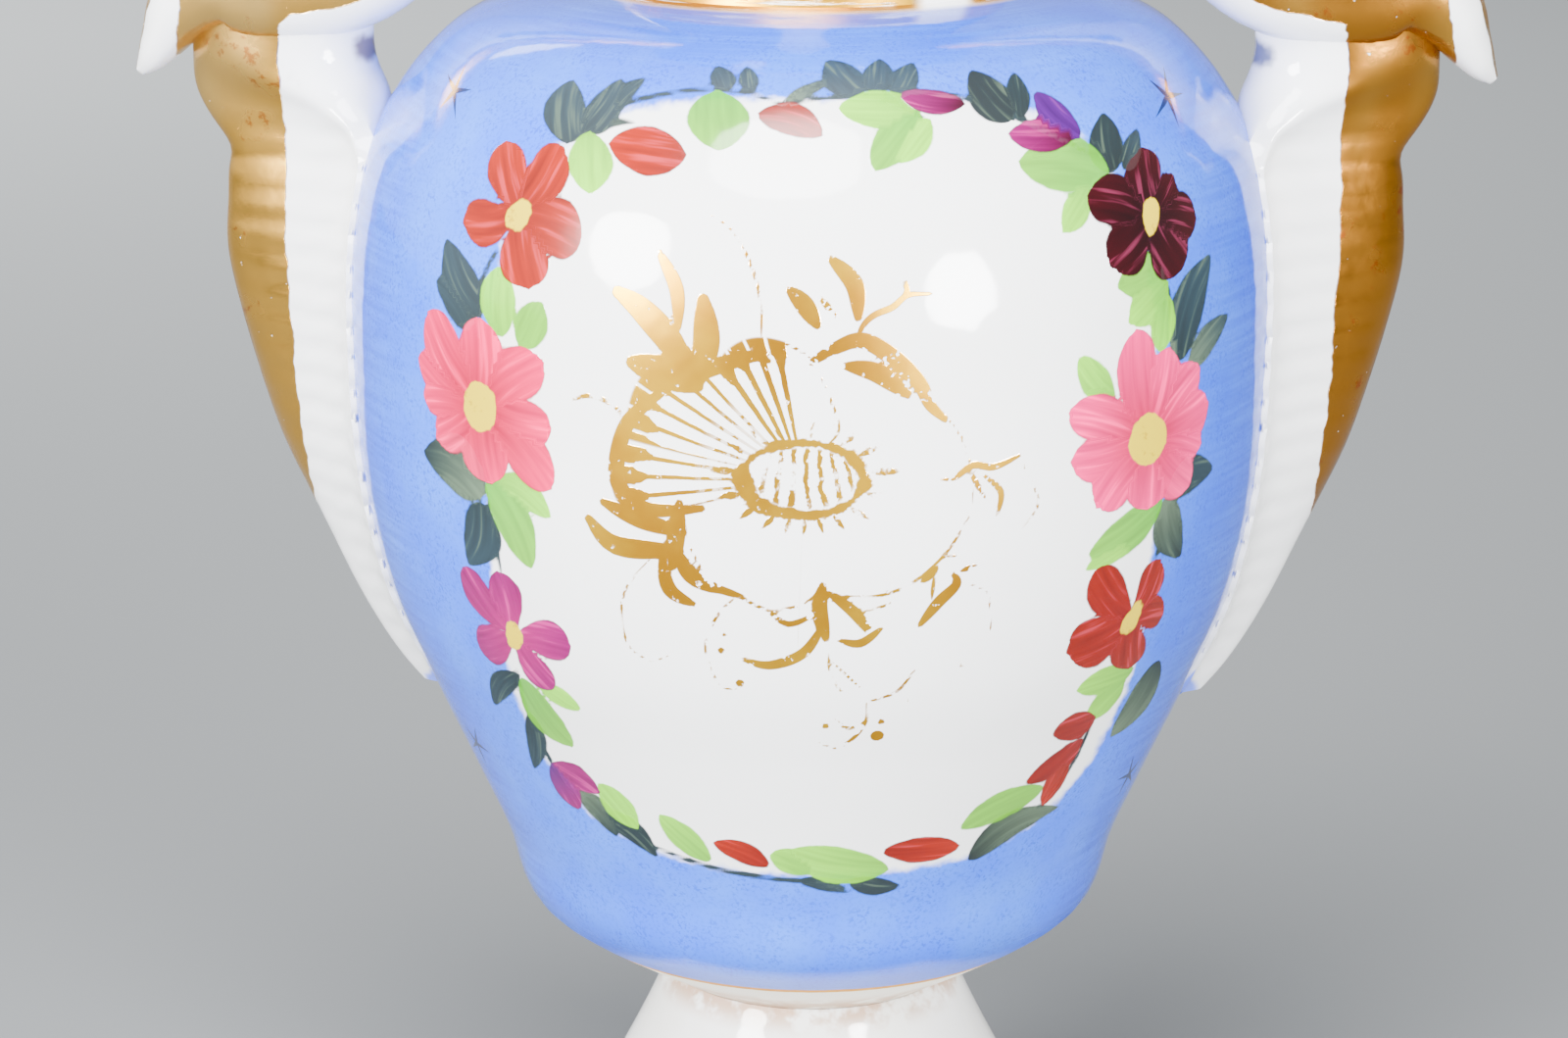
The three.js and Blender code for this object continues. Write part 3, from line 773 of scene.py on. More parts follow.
def potShape(clay, v):
    turn = math.radians(v["frontTurn"])
    fine = stops(v["columns"]) / v["bodyRadius"]
    fine = np.sort((fine + math.pi) % (2 * math.pi) - math.pi)
    plain = np.arange(v["plainColumns"]) * 2 * math.pi / v["plainColumns"] - math.pi
    inside = np.arange(v["innerColumns"]) * 2 * math.pi / v["innerColumns"] - math.pi
    outer = np.concatenate([bodyOutline, neckOutline])
    outerLength = lengthsAlong(outer)
    bodyLength = lengthsAlong(bodyOutline)[-1]
    rows = stops(v["rows"])
    rows = rows[rows < outerLength[-1] - 0.4]
    rows = np.sort(np.append(rows[np.abs(rows - bodyLength) > 0.8], [bodyLength, outerLength[-1]]))

    def ring(radius, height, angles, up, onWall=True):
        place = np.stack([radius * np.sin(angles + turn), -radius * np.cos(angles + turn),
                          np.full(len(angles), height)], 1)
        paint = {}
        if onWall:
            s = radius * angles
            t = np.full(len(angles), up - v["panelMiddle"])
            paint["wall"] = np.stack([s, t, panelEdge(s, t)], 1)
        return clay.add(place, paint), angles

    rings = []
    for up in rows:
        radius = np.interp(up, outerLength, outer[:, 0])
        height = np.interp(up, outerLength, outer[:, 1])
        angles = fine if v["fineFrom"] < up < v["fineTo"] else plain
        rings.append(ring(radius, height, angles, up))
    outerRings = len(rings)
    # the inside, a wall's thickness in from the outer line
    along = np.gradient(outer, axis=0)
    along /= np.hypot(*along.T)[:, None]
    inner = np.stack([outer[:, 0] - along[:, 1] * v["wall"], outer[:, 1] + along[:, 0] * v["wall"]], 1)
    floorHeight = v["bodyBase"] + v["floorThickness"]
    inner = inner[(inner[:, 1] > floorHeight + v["wall"] / 2) & (inner[:, 0] > v["wall"])]
    inner = inner[np.append(True, np.diff(np.maximum.accumulate(inner[:, 1])) > 0.02)]
    innerLength = lengthsAlong(inner)
    lipStart, lipEnd = outer[-1], inner[-1]
    middle = (lipStart + lipEnd) / 2
    arm = lipStart - middle
    for i in range(1, v["lipSteps"]):
        a = math.pi * i / v["lipSteps"]
        r = middle[0] + arm[0] * math.cos(a) - arm[1] * math.sin(a)
        z = middle[1] + arm[0] * math.sin(a) + arm[1] * math.cos(a)
        rings.append(ring(r, z, plain, outerLength[-1] + i))
    count = round(innerLength[-1] / v["innerSpacing"])
    for i in range(count, -1, -1):
        at = innerLength[-1] * i / count
        r = np.interp(at, innerLength, inner[:, 0])
        z = np.interp(at, innerLength, inner[:, 1])
        rings.append(ring(r, z, inside, 0, False))
    rings.append(ring(inner[0][0] - v["wall"], floorHeight, inside, 0, False))
    glazed = outerRings + v["lipSteps"] - 2
    for k, (below, above) in enumerate(zip(rings, rings[1:])):
        clay.ringToRing(below, above, slot=0 if k < glazed else 1)
    base = clay.add(np.array([[0, 0, v["bodyBase"]]]))
    clay.fan(base, rings[0], False, 1)
    top = clay.add(np.array([[0, 0, floorHeight]]))
    clay.fan(top, rings[-1], True, 1)


def paintPot(clay):
    # all motifs at once, on the points of the wall
    wall = np.concatenate(clay.paint["wall"])
    s = wall[:, 0]
    t = wall[:, 1]
    onWall = np.any(wall != 0, axis=1)
    across, up = vessel["paintedTo"]
    front = onWall & (np.abs(s) < across) & (np.abs(t) < up)
    darkEdge, edges, tones = paintFront(s[front], t[front])
    layers = np.full(wall.shape, farOutside)
    layers[front] = edges
    gilding = np.full(wall.shape, farOutside)
    gilding[front] = paintGilt(s[front], t[front])
    clay.paint["layers"] = [layers]
    clay.paint["gilding"] = [gilding]
    for name, values in tones.items():
        whole = np.zeros(wall.shape)
        whole[front] = values
        clay.paint[name] = [whole]
    finish = np.concatenate(clay.paint["finish"])
    finish[onWall, 0] = leafGap(np.concatenate(clay.points)[onWall], handle, vessel)
    finish[onWall, 1] = farOutside
    finish[front, 1] = darkEdge
    clay.paint["finish"] = [finish]
    print("painted", int(front.sum()), "points of the front")


def leafGap(points, h, v):
    # how far a point of the wall lies outside the handle leaf's margin
    leaf = h["leafForm"]
    share = (points[:, 2] - v["bodyBase"]) / v["bodyHeight"]
    half = formLine(leaf, (2,), share)[0] * h["leafHalfWidth"]
    beyond = np.maximum(np.maximum(leaf[0][0] - share, share - leaf[-1][0]), 0) * v["bodyHeight"]
    return np.hypot(np.maximum(np.abs(points[:, 1]) - half, 0), beyond)


# The handles

def formLine(table, columns, at):
    # a smooth reading of the table's columns at shares of the height
    p = smoothLine(table, handle["formSteps"])
    return [np.interp(at, p[:, 0], p[:, c]) for c in columns]


def eased(values, rounds):
    # takes the small bends out of a row of numbers, with its ends kept
    values = np.array(values)
    for _ in range(rounds):
        values[1:-1] = (values[:-2] + 2 * values[1:-1] + values[2:]) / 4
    return values


def handleCourse(h, v):
    # heights of the rings, with the rise, the half width and the freedom from the wall at each
    ridge = h["leafRidge"]
    rows = [(share, rise * ridge, width * h["leafHalfWidth"], 0.0) for share, rise, width in h["leafForm"]]
    leafWidth = rows[-1][2]
    for share, rise, freed in h["stemForm"]:
        width = leafWidth + (h["stemHalfWidth"] - leafWidth) * math.sqrt(freed)
        rows.append((share, rise * ridge, width, freed))
    last = (shoulderTop + h["stemTop"] - v["bodyBase"]) / v["bodyHeight"]
    rows.append((last, rows[-1][1], h["stemHalfWidth"], 1.0))
    low = v["bodyBase"] + rows[0][0] * v["bodyHeight"]
    high = v["bodyBase"] + last * v["bodyHeight"]
    heights = np.linspace(low, high, round((high - low) / h["ringSpacing"]))
    rise, width, freed = formLine(rows, (1, 2, 3), (heights - v["bodyBase"]) / v["bodyHeight"])
    freed = np.clip(eased(freed, h["freedEasing"]), 0, 1)
    return heights, eased(rise, h["riseEasing"]), width, freed


def leafAndStem(clay, h, v, side):
    outerS = np.sin(math.pi / 2 * np.linspace(-1, 1, h["outerPoints"]))
    innerS = np.sin(math.pi / 2 * np.linspace(1, -1, h["innerPoints"] + 2)[1:-1])
    s = np.concatenate([outerS, innerS])
    away = np.abs(s)
    outside = np.arange(len(s)) < len(outerS)
    crown = ((1 + np.cos(math.pi * s)) / 2) ** h["crownPower"]
    flank = ramp(away, *h["veinsFrom"]) * ramp(away, *h["veinsTo"])
    # the free stem's outline, out from the axis
    freeInner = v["bodyRadius"] - h["stemInset"]
    freeOuter = v["bodyRadius"] + h["stemReach"]
    middle = freeInner + (freeOuter - freeInner) * h["stemMiddle"]
    freeX = middle + (np.where(outside, freeOuter, freeInner) - middle) * np.sqrt(np.maximum(1 - s * s, 0))
    rings = []
    for z, lift, half, free in zip(*handleCourse(h, v)):
        surface = float(radiusAt(min(z, shoulderTop)))
        leafy = (1 - free) * ramp(half, *h["leafyFrom"])
        scallop = 1 - h["toothReach"] * leafy * (1 - abs(math.sin(math.pi * z / h["toothPitch"])))
        y = half * scallop * s
        margin = np.sqrt(np.maximum((surface + h["leafEdge"]) ** 2 - y * y, 0))
        sunk = np.sqrt(np.maximum((surface - v["wall"] / 2) ** 2 - y * y, 0))
        for knobHeight, spread, swell in h["knobs"]:
            lift = lift + swell * math.exp(-(((z - knobHeight) / spread) ** 2)) * (1 - free)
        vein = (0.5 + 0.5 * np.cos(2 * math.pi * (z - np.abs(y) * h["veinSlope"]) / h["veinPitch"])) ** 3
        onBody = np.where(outside, margin + lift * crown - h["veinDepth"] * vein * flank * leafy, sunk)
        x = onBody * (1 - free) + freeX * free
        gilded = np.where(outside, x - np.interp(z, *np.array(h["gildedFrom"]).T), h["ungilded"])
        tip = ramp(z, *h["tipBlueFade"]) * h["tipBlueWidth"] - h["tipBlueInset"] - (1 - away) * half
        # painted shade where the stem leaves the wall
        gap = np.hypot(x - h["rootShadeAt"][0], z - h["rootShadeAt"][1])
        rootShade = free * h["rootShadeDepth"] - h["rootShadeFrom"] - gap * h["rootShadeFade"]
        blue = np.maximum(np.where(outside, tip, h["unblued"]), rootShade)
        rings.append((np.stack([side * x, side * y, np.full(len(s), z)], 1), gilded, blue))
    addLoft(clay, rings)


def addLoft(clay, rings):
    # skins the rings and closes both ends
    made = []
    around = np.arange(len(rings[0][0]))
    for points, gilded, blue in rings:
        finish = np.stack([gilded, blue, around * 0.0], 1)
        made.append((clay.add(points, {"finish": finish}), around))
    for a, b in zip(made, made[1:]):
        clay.ringToRing(a, b, slot=2)
    for end, upwards in ((0, False), (-1, True)):
        points, gilded, blue = rings[end]
        finish = np.array([[gilded.mean(), blue.mean(), 0.0]])
        middle = clay.add(points.mean(0)[None], {"finish": finish})
        clay.fan(middle, made[end], upwards, 2)


def armAndCurl(clay, h, v, side):
    headX = v["bodyRadius"] + (h["stemReach"] - h["stemInset"]) / 2
    headZ = shoulderTop + h["stemTop"] / 3
    neckZ = shoulderTop + h["armNeckHeight"]
    neckX = float(radiusAt(neckZ)) - v["wall"] / 2
    reach = v["bodyRadius"] + h["curlReach"] - headX
    rows = [(neckX + (headX - neckX) * a, headZ + (neckZ - headZ) * b, w, t) for a, b, w, t in h["armForm"]]
    headAt = (len(rows) - 1) * h["armSteps"]
    rows += [(headX + a * reach, headZ - b * h["curlDrop"], w, t) for a, b, w, t in h["curlForm"]]
    line = smoothLine(rows, h["armSteps"])
    along = np.gradient(line[:, :2], axis=0)
    along /= np.hypot(*along.T)[:, None]
    # the first ring leans with the neck's wall
    lean = float(radiusAt(neckZ + v["wall"]) - radiusAt(neckZ - v["wall"])) / (2 * v["wall"])
    along[0] = np.array([1, -lean]) / math.hypot(1, lean)
    angles = np.arange(h["armPoints"]) * 2 * math.pi / h["armPoints"]
    corner = np.where(np.cos(angles) < 0, 2 / h["armSquareness"], 1.0)
    upDown = np.sign(np.cos(angles)) * np.abs(np.cos(angles)) ** corner
    sideways = np.sign(np.sin(angles)) * np.abs(np.sin(angles)) ** corner
    lineAt, lineWidth, sharpness = h["armLine"]
    rings = []
    for i, (x, z, w, t) in enumerate(line):
        thick = t * h["armHalfThickness"]
        out = upDown * thick
        y = sideways * w * h["armHalfWidth"]
        px = x - along[i][1] * out
        pz = z + along[i][0] * out
        # a white lip runs along the arm's lower edge as far as the stem, and the curl's sides are white
        upper = np.maximum(out + h["lipDepth"] * thick, px - h["lipEnd"])
        if i > headAt:
            whiteFrom = h["curlWhiteFrom"] + np.maximum(headZ - pz, 0) * h["curlWhiteLean"]
            upper = np.minimum(upper, np.maximum(whiteFrom - px, out - h["curlWhiteUnder"] * thick))
        blue = np.full(len(angles), h["unblued"])
        if i < headAt * h["armLineTo"]:
            blue = lineWidth - np.abs(out + lineAt * thick) * sharpness
        rings.append((np.stack([side * px, side * y, pz], 1), upper, blue))
    addLoft(clay, rings)


# Small teeth along the leaves' margins, laid by a node tree

def toothTree(glaze):
    tree = bpy.data.node_groups.new("leafTeeth", "GeometryNodeTree")
    sockets = {"Geometry": "Geometry", "seed": "Int"}
    sockets.update(dict.fromkeys(("pitch", "length", "width", "thickness", "scatter"), "Float"))
    for name, kind in sockets.items():
        tree.interface.new_socket(name, in_out="INPUT", socket_type="NodeSocket" + kind)
    tree.interface.new_socket("Geometry", in_out="OUTPUT", socket_type="NodeSocketGeometry")

    def add(kind, settings=None, values=None, output=0):
        return makeNode(tree, kind, settings, values).outputs[output]

    given = tree.nodes.new("NodeGroupInput").outputs
    curve = add("GeometryNodeMeshToCurve", {}, {"Mesh": given["Geometry"]})
    even = add("GeometryNodeResampleCurve", {"mode": "LENGTH"}, {"Curve": curve, "Length": given["pitch"]})
    ball = add("GeometryNodeMeshUVSphere", {}, {"Segments": 10, "Rings": 6, "Radius": 0.5})
    sizes = {"X": given["width"], "Y": given["thickness"], "Z": given["length"]}
    size = add("ShaderNodeCombineXYZ", {}, sizes)
    shaped = add("GeometryNodeTransform", {}, {"Geometry": ball, "Scale": size})
    # each tooth lies along the margin with its thickness outwards
    lie = add("GeometryNodeInputTangent")
    turned = add("FunctionNodeAlignRotationToVector", {"axis": "Z"}, {"Vector": lie})
    place = add("GeometryNodeInputPosition")
    flat = add("ShaderNodeVectorMath", {"operation": "MULTIPLY"}, {0: place, 1: (1, 1, 0)})
    settings = {"axis": "Y", "pivot_axis": "Z"}
    outward = add("FunctionNodeAlignRotationToVector", settings, {"Rotation": turned, "Vector": flat})
    low = add("ShaderNodeMath", {"operation": "SUBTRACT"}, {0: 1.0, 1: given["scatter"]})
    high = add("ShaderNodeMath", {"operation": "ADD"}, {0: 1.0, 1: given["scatter"]})
    spread = add("FunctionNodeRandomValue", {}, {"Seed": given["seed"], 2: low, 3: high}, 1)
    laying = {"Points": even, "Instance": shaped, "Rotation": outward, "Scale": spread}
    laid = add("GeometryNodeInstanceOnPoints", {}, laying)
    real = add("GeometryNodeRealizeInstances", {}, {"Geometry": laid})
    dressed = add("GeometryNodeSetMaterial", {}, {"Geometry": real, "Material": glaze})
    makeNode(tree, "NodeGroupOutput", {}, {"Geometry": dressed})
    return tree


def marginLines(h, v, spec):
    form = h["leafForm"]
    share = np.linspace(form[1][0], form[-1][0], spec["points"])
    half = formLine(form, (2,), share)[0] * h["leafHalfWidth"] - spec["inset"]
    z = v["bodyBase"] + share * v["bodyHeight"]
    x = np.sqrt((radiusAt(z) + h["leafEdge"] * spec["lift"]) ** 2 - half**2)
    return [np.stack([side * x, side * edge * half, z], 1) for side in (1, -1) for edge in (1, -1)]


def layTeeth(clay, h, v, spec, glaze):
    lines = marginLines(h, v, spec)
    count = spec["points"]
    edges = [(k * count + i, k * count + i + 1) for k in range(len(lines)) for i in range(count - 1)]
    mesh = bpy.data.meshes.new("margins")
    mesh.from_pydata((np.concatenate(lines) * mm).tolist(), edges, [])
    path = placed("margins", mesh)
    modifier = path.modifiers.new("teeth", "NODES")
    modifier.node_group = toothTree(glaze)
    for socket in modifier.node_group.interface.items_tree:
        if socket.in_out == "INPUT" and socket.name in spec:
            scale = 1 if socket.name in ("scatter", "seed") else mm
            modifier[socket.identifier] = spec[socket.name] * scale
    bpy.context.view_layer.update()
    evaluated = path.evaluated_get(bpy.context.evaluated_depsgraph_get())
    baked = bpy.data.meshes.new_from_object(evaluated)
    path.modifiers.clear()
    places = np.array([p.co for p in baked.vertices]).reshape(-1, 3) / mm
    finish = np.tile([h["ungilded"], h["unblued"], 0.0], (len(places), 1))
    first = clay.add(places, {"finish": finish})
    clay.face([[first + i for i in p.vertices] for p in baked.polygons], 2)
    bpy.data.objects.remove(path)
    print("leaf teeth:", len(places), "points")


# The foot: the trumpet and the square plinth, hollow from beneath

def squareRing(side, corner, angles):
    # distance from the axis to a rounded square's edge at each angle
    half = side / 2
    x, y = np.abs(np.cos(angles)), np.abs(np.sin(angles))
    straight = half / np.maximum(x, y)
    inner = half - corner
    b = inner * (x + y)
    inside = np.maximum(b * b - (2 * inner * inner - corner * corner), 0)
    roundPart = b + np.sqrt(inside)
    onCorner = np.minimum(x, y) * straight > inner
    return np.where(onCorner, roundPart, straight)


def footAngles(f):
    # even steps round the foot, with more of them at the plinth's corners
    even = np.arange(f["columns"]) * 2 * math.pi / f["columns"] - math.pi
    spread = f["plinthCorner"] * 3 / (f["plinthSide"] / 2) * math.sqrt(0.5) * (np.arange(-7, 8) / 7)
    corners = [math.pi * (k / 2 - 0.75) + spread for k in range(4)]
    angles = np.unique(np.round(np.concatenate([even, *corners]), 5))
    return angles[np.append(np.diff(angles) > 0.002, True)]


def footShape(clay, f, v):
    angles = footAngles(f)
    side = f["plinthSide"]
    corner = f["plinthCorner"]
    bevel = f["plinthBevel"]
    base = f["plinthHeight"]
    edge = f["footEdgeHeight"]
    rim = f["footBaseRadius"] - edge / 4
    top = base + f["footHeight"]
    full = f["footHeight"] - edge
    steps = f["flareSteps"]

    def flare(depth):
        share = np.clip(depth / full, 0, 1)
        spread = f["footBaseRadius"] - f["footStep"] - v["jointRadius"]
        return v["jointRadius"] + spread * share ** f["flarePower"]

    def ring(radius, height):
        r = np.broadcast_to(radius, angles.shape)
        points = np.stack([r * np.sin(angles), -r * np.cos(angles), np.full(len(angles), height)], 1)
        return clay.add(points), angles

    # the plinth from its rim underneath to its top: how much narrower, corner, height
    squares = [
        (2 * f["plinthWall"], corner / 2, 0.0),
        (2 * bevel, corner, 0.0),
        (0.6 * bevel, corner, bevel * 0.3),
        (0.0, corner, bevel),
        (0.0, corner, base - bevel),
        (0.6 * bevel, corner, base - bevel * 0.3),
        (2 * bevel, corner, base),
    ]
    rings = [ring(squareRing(side - less, rounded, angles), height) for less, rounded, height in squares]
    rings.append(ring(rim, base))
    for i in range(1, 9):
        a = math.pi * i / 9
        rings.append(ring(rim + edge / 4 * math.sin(a), base + edge * (1 - math.cos(a)) / 2 * 0.95))
    for i in range(steps, -1, -1):
        depth = full * i / steps
        rings.append(ring(flare(depth) - (0.4 if i == 0 else 0), top - depth))
    crown = clay.add(np.array([[0, 0, top]]))
    clay.fan(crown, rings[-1], True)
    hollow = []
    for i in range(steps + 1):
        depth = f["footWall"] + (f["footHeight"] - f["footWall"]) * i / steps
        hollow.append(ring(flare(depth) - f["footWall"], top - depth))
    hollow.append(ring(flare(f["footHeight"]) - f["footWall"], base - f["plinthWall"]))
    hollow.append(ring(squareRing(side - 2 * f["plinthWall"], corner / 2, angles), base - f["plinthWall"]))
    hollow.append(rings[0])
    roof = clay.add(np.array([[0, 0, top - f["footWall"]]]))
    clay.fan(roof, hollow[0], False)
    for row in (rings, hollow):
        for a, b in zip(row, row[1:]):
            clay.ringToRing(a, b)


# Glazes and enamels

# Where the wall's paint changes, and how soft each change is. Heights are above the plinth's underside.
wallPaint = {
    "panelEdge": (0.0, 1.5),
    "shoulderShade": (62.0, 40.0),  # up the wall from the panel's middle
    "heelShade": (64.0, 16.0),
    "heelMatt": (62.0, 8.0),
    "rightShade": (47.0, 30.0),  # out from the middle, to the right
    "sideStreaks": (-0.55, 0.2),  # -1 at the front, 1 at the back
    # painted shade in the crease along the handles' leaves
    "leafCreaseShade": (1.2, 2.4),  # out from the handles' leaves
    "heelHeight": 56.9,
    "heelLine": 0.5,
    "jointStain": (52.0, 5.0),
    "bandFrom": -0.3,  # from the shoulder's top
    "bandTo": vessel["neckBandHeight"] + 2.0,
    "bandLost": (15.0, 24.0),  # the band is lost between these places to the right of the middle
    "lipDepth": 3.4,
    "strokeEdge": (0.0, 0.16),
}


class Mixed:
    # one socket, with the arithmetic that the recipes below use
    def __init__(self, recipe, socket):
        self.recipe = recipe
        self.socket = socket

    def math(self, operation, *others, clamp=False):
        return self.recipe.worked(operation, (self, *others), clamp)

    def __add__(self, other):
        return self.math("ADD", other)

    def __sub__(self, other):
        return self.math("SUBTRACT", other)

    def __mul__(self, other):
        return self.math("MULTIPLY", other)

    def __truediv__(self, other):
        return self.math("DIVIDE", other)

    def __rsub__(self, other):
        return self.recipe.worked("SUBTRACT", (other, self))

    def __rtruediv__(self, other):
        return self.recipe.worked("DIVIDE", (other, self))

    __radd__ = __add__
    __rmul__ = __mul__

    def above(self, edge, softness):
        # 0 below the edge, 1 above it
        settings = {"interpolation_type": "SMOOTHSTEP"}
        values = {"Value": self, "From Min": edge - softness / 2, "From Max": edge + softness / 2}
        return self.recipe.node("ShaderNodeMapRange", settings, values)

    def below(self, edge, softness):
        return 1.0 - self.above(edge, softness)

    def size(self):
        return self.math("ABSOLUTE")

    def larger(self, other):
        return self.math("MAXIMUM", other)

    def smaller(self, other):
        return self.math("MINIMUM", other)

    def limited(self):
        return self.math("ADD", 0.0, clamp=True)


class Recipe:
    def __init__(self, name):
        self.material = bpy.data.materials.new(name)
        self.material.use_nodes = True
        self.tree = self.material.node_tree
        self.tree.nodes.clear()
        self.known = {}

    def node(self, kind, settings=None, values=None, output=0):
        return Mixed(self, makeNode(self.tree, kind, settings, values).outputs[output])

    def worked(self, operation, values, clamp=False):
        settings = {"operation": operation, "use_clamp": clamp}
        return self.node("ShaderNodeMath", settings, dict(enumerate(values)))

    def painted(self, name):
        if name not in self.known:
            self.known[name] = self.node("ShaderNodeAttribute", {"attribute_name": name}, output="Vector")
        return self.known[name]

    def place(self):
        if "place" not in self.known:
            self.known["place"] = self.node("ShaderNodeTexCoord", output="Object")
        return self.known["place"]

    def parts(self, vector, letters):
        return [self.node("ShaderNodeSeparateXYZ", {}, {"Vector": vector}, letter) for letter in letters]

    def height(self):
        return self.parts(self.place(), "Z")[0] / mm

    def noise(self, scale, detail=2.0, roughness=0.5, where=None, stretch=None):
        where = where or self.place()
        if stretch:
            where = self.node("ShaderNodeMapping", {}, {"Vector": where, "Scale": stretch})
        values = {"Vector": where, "Scale": scale, "Detail": detail, "Roughness": roughness}
        return self.node("ShaderNodeTexNoise", {}, values, "Fac")

    def blend(self, below, above, amount):
        settings = {"data_type": "RGBA", "clamp_factor": True}
        return self.node("ShaderNodeMix", settings, {0: amount, 6: below, 7: above}, 2)

    def coated(self, base, coats):
        # each coat is an enamel's name or a mixed colour, with how much of it there is
        for tone, amount in coats:
            base = self.blend(base, enamel[tone] if isinstance(tone, str) else tone, amount)
        return base

    def scaled(self, colour, amount):
        # the colour made deeper or lighter
        return self.node("ShaderNodeVectorMath", {"operation": "SCALE"}, {0: colour, "Scale": amount})

    def finish(self, base, roughness, metallic=None, height=None, depth=0.05 * mm, gloss=None):
        values = {"Base Color": base, "Roughness": roughness, "IOR": 1.5}
        values.update(gloss or {})
        if metallic is not None:
            values["Metallic"] = metallic
        if height is not None:
            bumped = {"Height": height, "Distance": depth, "Strength": 1.0}
            values["Normal"] = self.node("ShaderNodeBump", {}, bumped)
        surface = self.node("ShaderNodeBsdfPrincipled", {}, values)
        makeNode(self.tree, "ShaderNodeOutputMaterial", {}, {"Surface": surface})
        return self.material


class WallRecipe(Recipe):
    # the wall's painted readings, its place, and the noises that its coats share
    def __init__(self, name):
        super().__init__(name)
        self.s, self.t, self.panel = self.parts(self.painted("wall"), "XYZ")
        self.leaf, self.petal, self.heart = self.parts(self.painted("layers"), "XYZ")
        self.full, self.worn, self.faint = self.parts(self.painted("gilding"), "XYZ")
        self.leafGap, self.dark = self.parts(self.painted("finish"), "XY")
        self.x, self.y = self.parts(self.place(), "XY")
        self.up = self.height()
        self.onBack = self.y.above(0.0, 0.01)
        self.grain = self.noise(1900.0, 2.0, 0.6)
        self.cloud = self.noise(70.0, 3.0, 0.55)
        self.patches = self.noise(260.0, 2.0, 0.5)
        self.wobble = self.noise(420.0, 2.0, 0.5) - 0.5
        self.scuff = self.noise(330.0, 3.0, 0.7)
        # brush marks and scratches run round the body, with the length up the wall as their height
        around = self.node("ShaderNodeCombineXYZ", {}, {"X": self.x, "Y": self.y, "Z": self.t * mm})
        self.streak = self.noise(1.0, 3.0, 0.6, around, (35.0, 35.0, 900.0))
        self.scratches = self.noise(1.0, 4.0, 0.7, around, (60.0, 60.0, 1600.0))


def blueGround(r):
    # sponged blue, with painted shade at the shoulder, the heel and the right, and in the crease along the
    # handles' leaves
    shoulder = r.t.above(*wallPaint["shoulderShade"])
    facing = r.y / (r.x * r.x + r.y * r.y).math("SQRT")
    return r.coated(enamel["blue"], [
        ("paleBlue", r.cloud.above(0.52, 0.5) * 0.6),
        ("shadeBlue", shoulder * 0.62),
        ("paleBlue", shoulder * r.streak.above(0.56, 0.3) * 0.3),
        ("shadeBlue", r.up.below(*wallPaint["heelShade"]) * 0.45),
        ("shadeBlue", (r.x / mm).above(*wallPaint["rightShade"]) * 0.4),
        ("deepBlue", r.grain.above(0.57, 0.2) * (0.12 + r.patches.above(0.5, 0.4) * 0.4)),
        ("deepBlue", facing.above(*wallPaint["sideStreaks"]) * r.streak.above(0.5, 0.3) * 0.35),
        # painted shade in the crease where the leaves meet the wall
        ("deepBlue", (r.leafGap + r.wobble * 3.0).below(*wallPaint["leafCreaseShade"]) * 0.3),
    ])


def starsInside(r, across, group):
    # how far inside one of the group's stars a point lies
    best = None
    for left, middle, size, turn in wreath[group]:
        dx = across - left
        dy = r.t - middle
        angle = dy.math("ARCTAN2", dx) + math.radians(turn)
        off = (angle * 2.5 - math.pi / 4).math("SINE").math("ARCSINE").size()
        star = size * 0.3 / (0.3 + off) - (dx * dx + dy * dy).math("SQRT")
        best = best.larger(star) if best else star
    return best


def wreathTones(r):
    # the brushed colours of the dark leaves, the light leaves, the petals and the hearts
    along, across, seed = r.parts(r.painted("lie"), "XYZ")
    lie = r.node("ShaderNodeCombineXYZ", {}, {"X": along * 0.9, "Y": across * 3.2, "Z": seed * 40.0})
    streaks = r.noise(1.0, 2.0, 0.5, lie)
    dark = r.coated(r.scaled(r.painted("darkTone"), 0.3 + streaks * 1.4), [
        ("greyGreen", streaks.above(0.62, 0.16) * 0.45),
        ("sea", r.dark.below(0.7, 1.0) * r.grain.above(0.55, 0.1) * 0.5),
    ])
    leaf = r.scaled(r.painted("leafTone"), 0.55 + streaks * 0.9)
    light = r.coated(r.scaled(r.painted("petalTone"), 2.2), [("palePink", 0.2)])
    petal = r.coated(r.scaled(r.painted("petalTone"), 0.35 + streaks * 1.3), [
        (light, streaks.above(0.64, 0.14) * 0.45),
        ("wine", r.petal.below(0.18, 0.36) * 0.4),
    ])
    dots = (r.patches * 0.6 + r.grain * 0.4).above(0.6, 0.06)
    return dark, leaf, petal, r.coated(enamel["yellow"], [("ochre", dots * 0.4)])


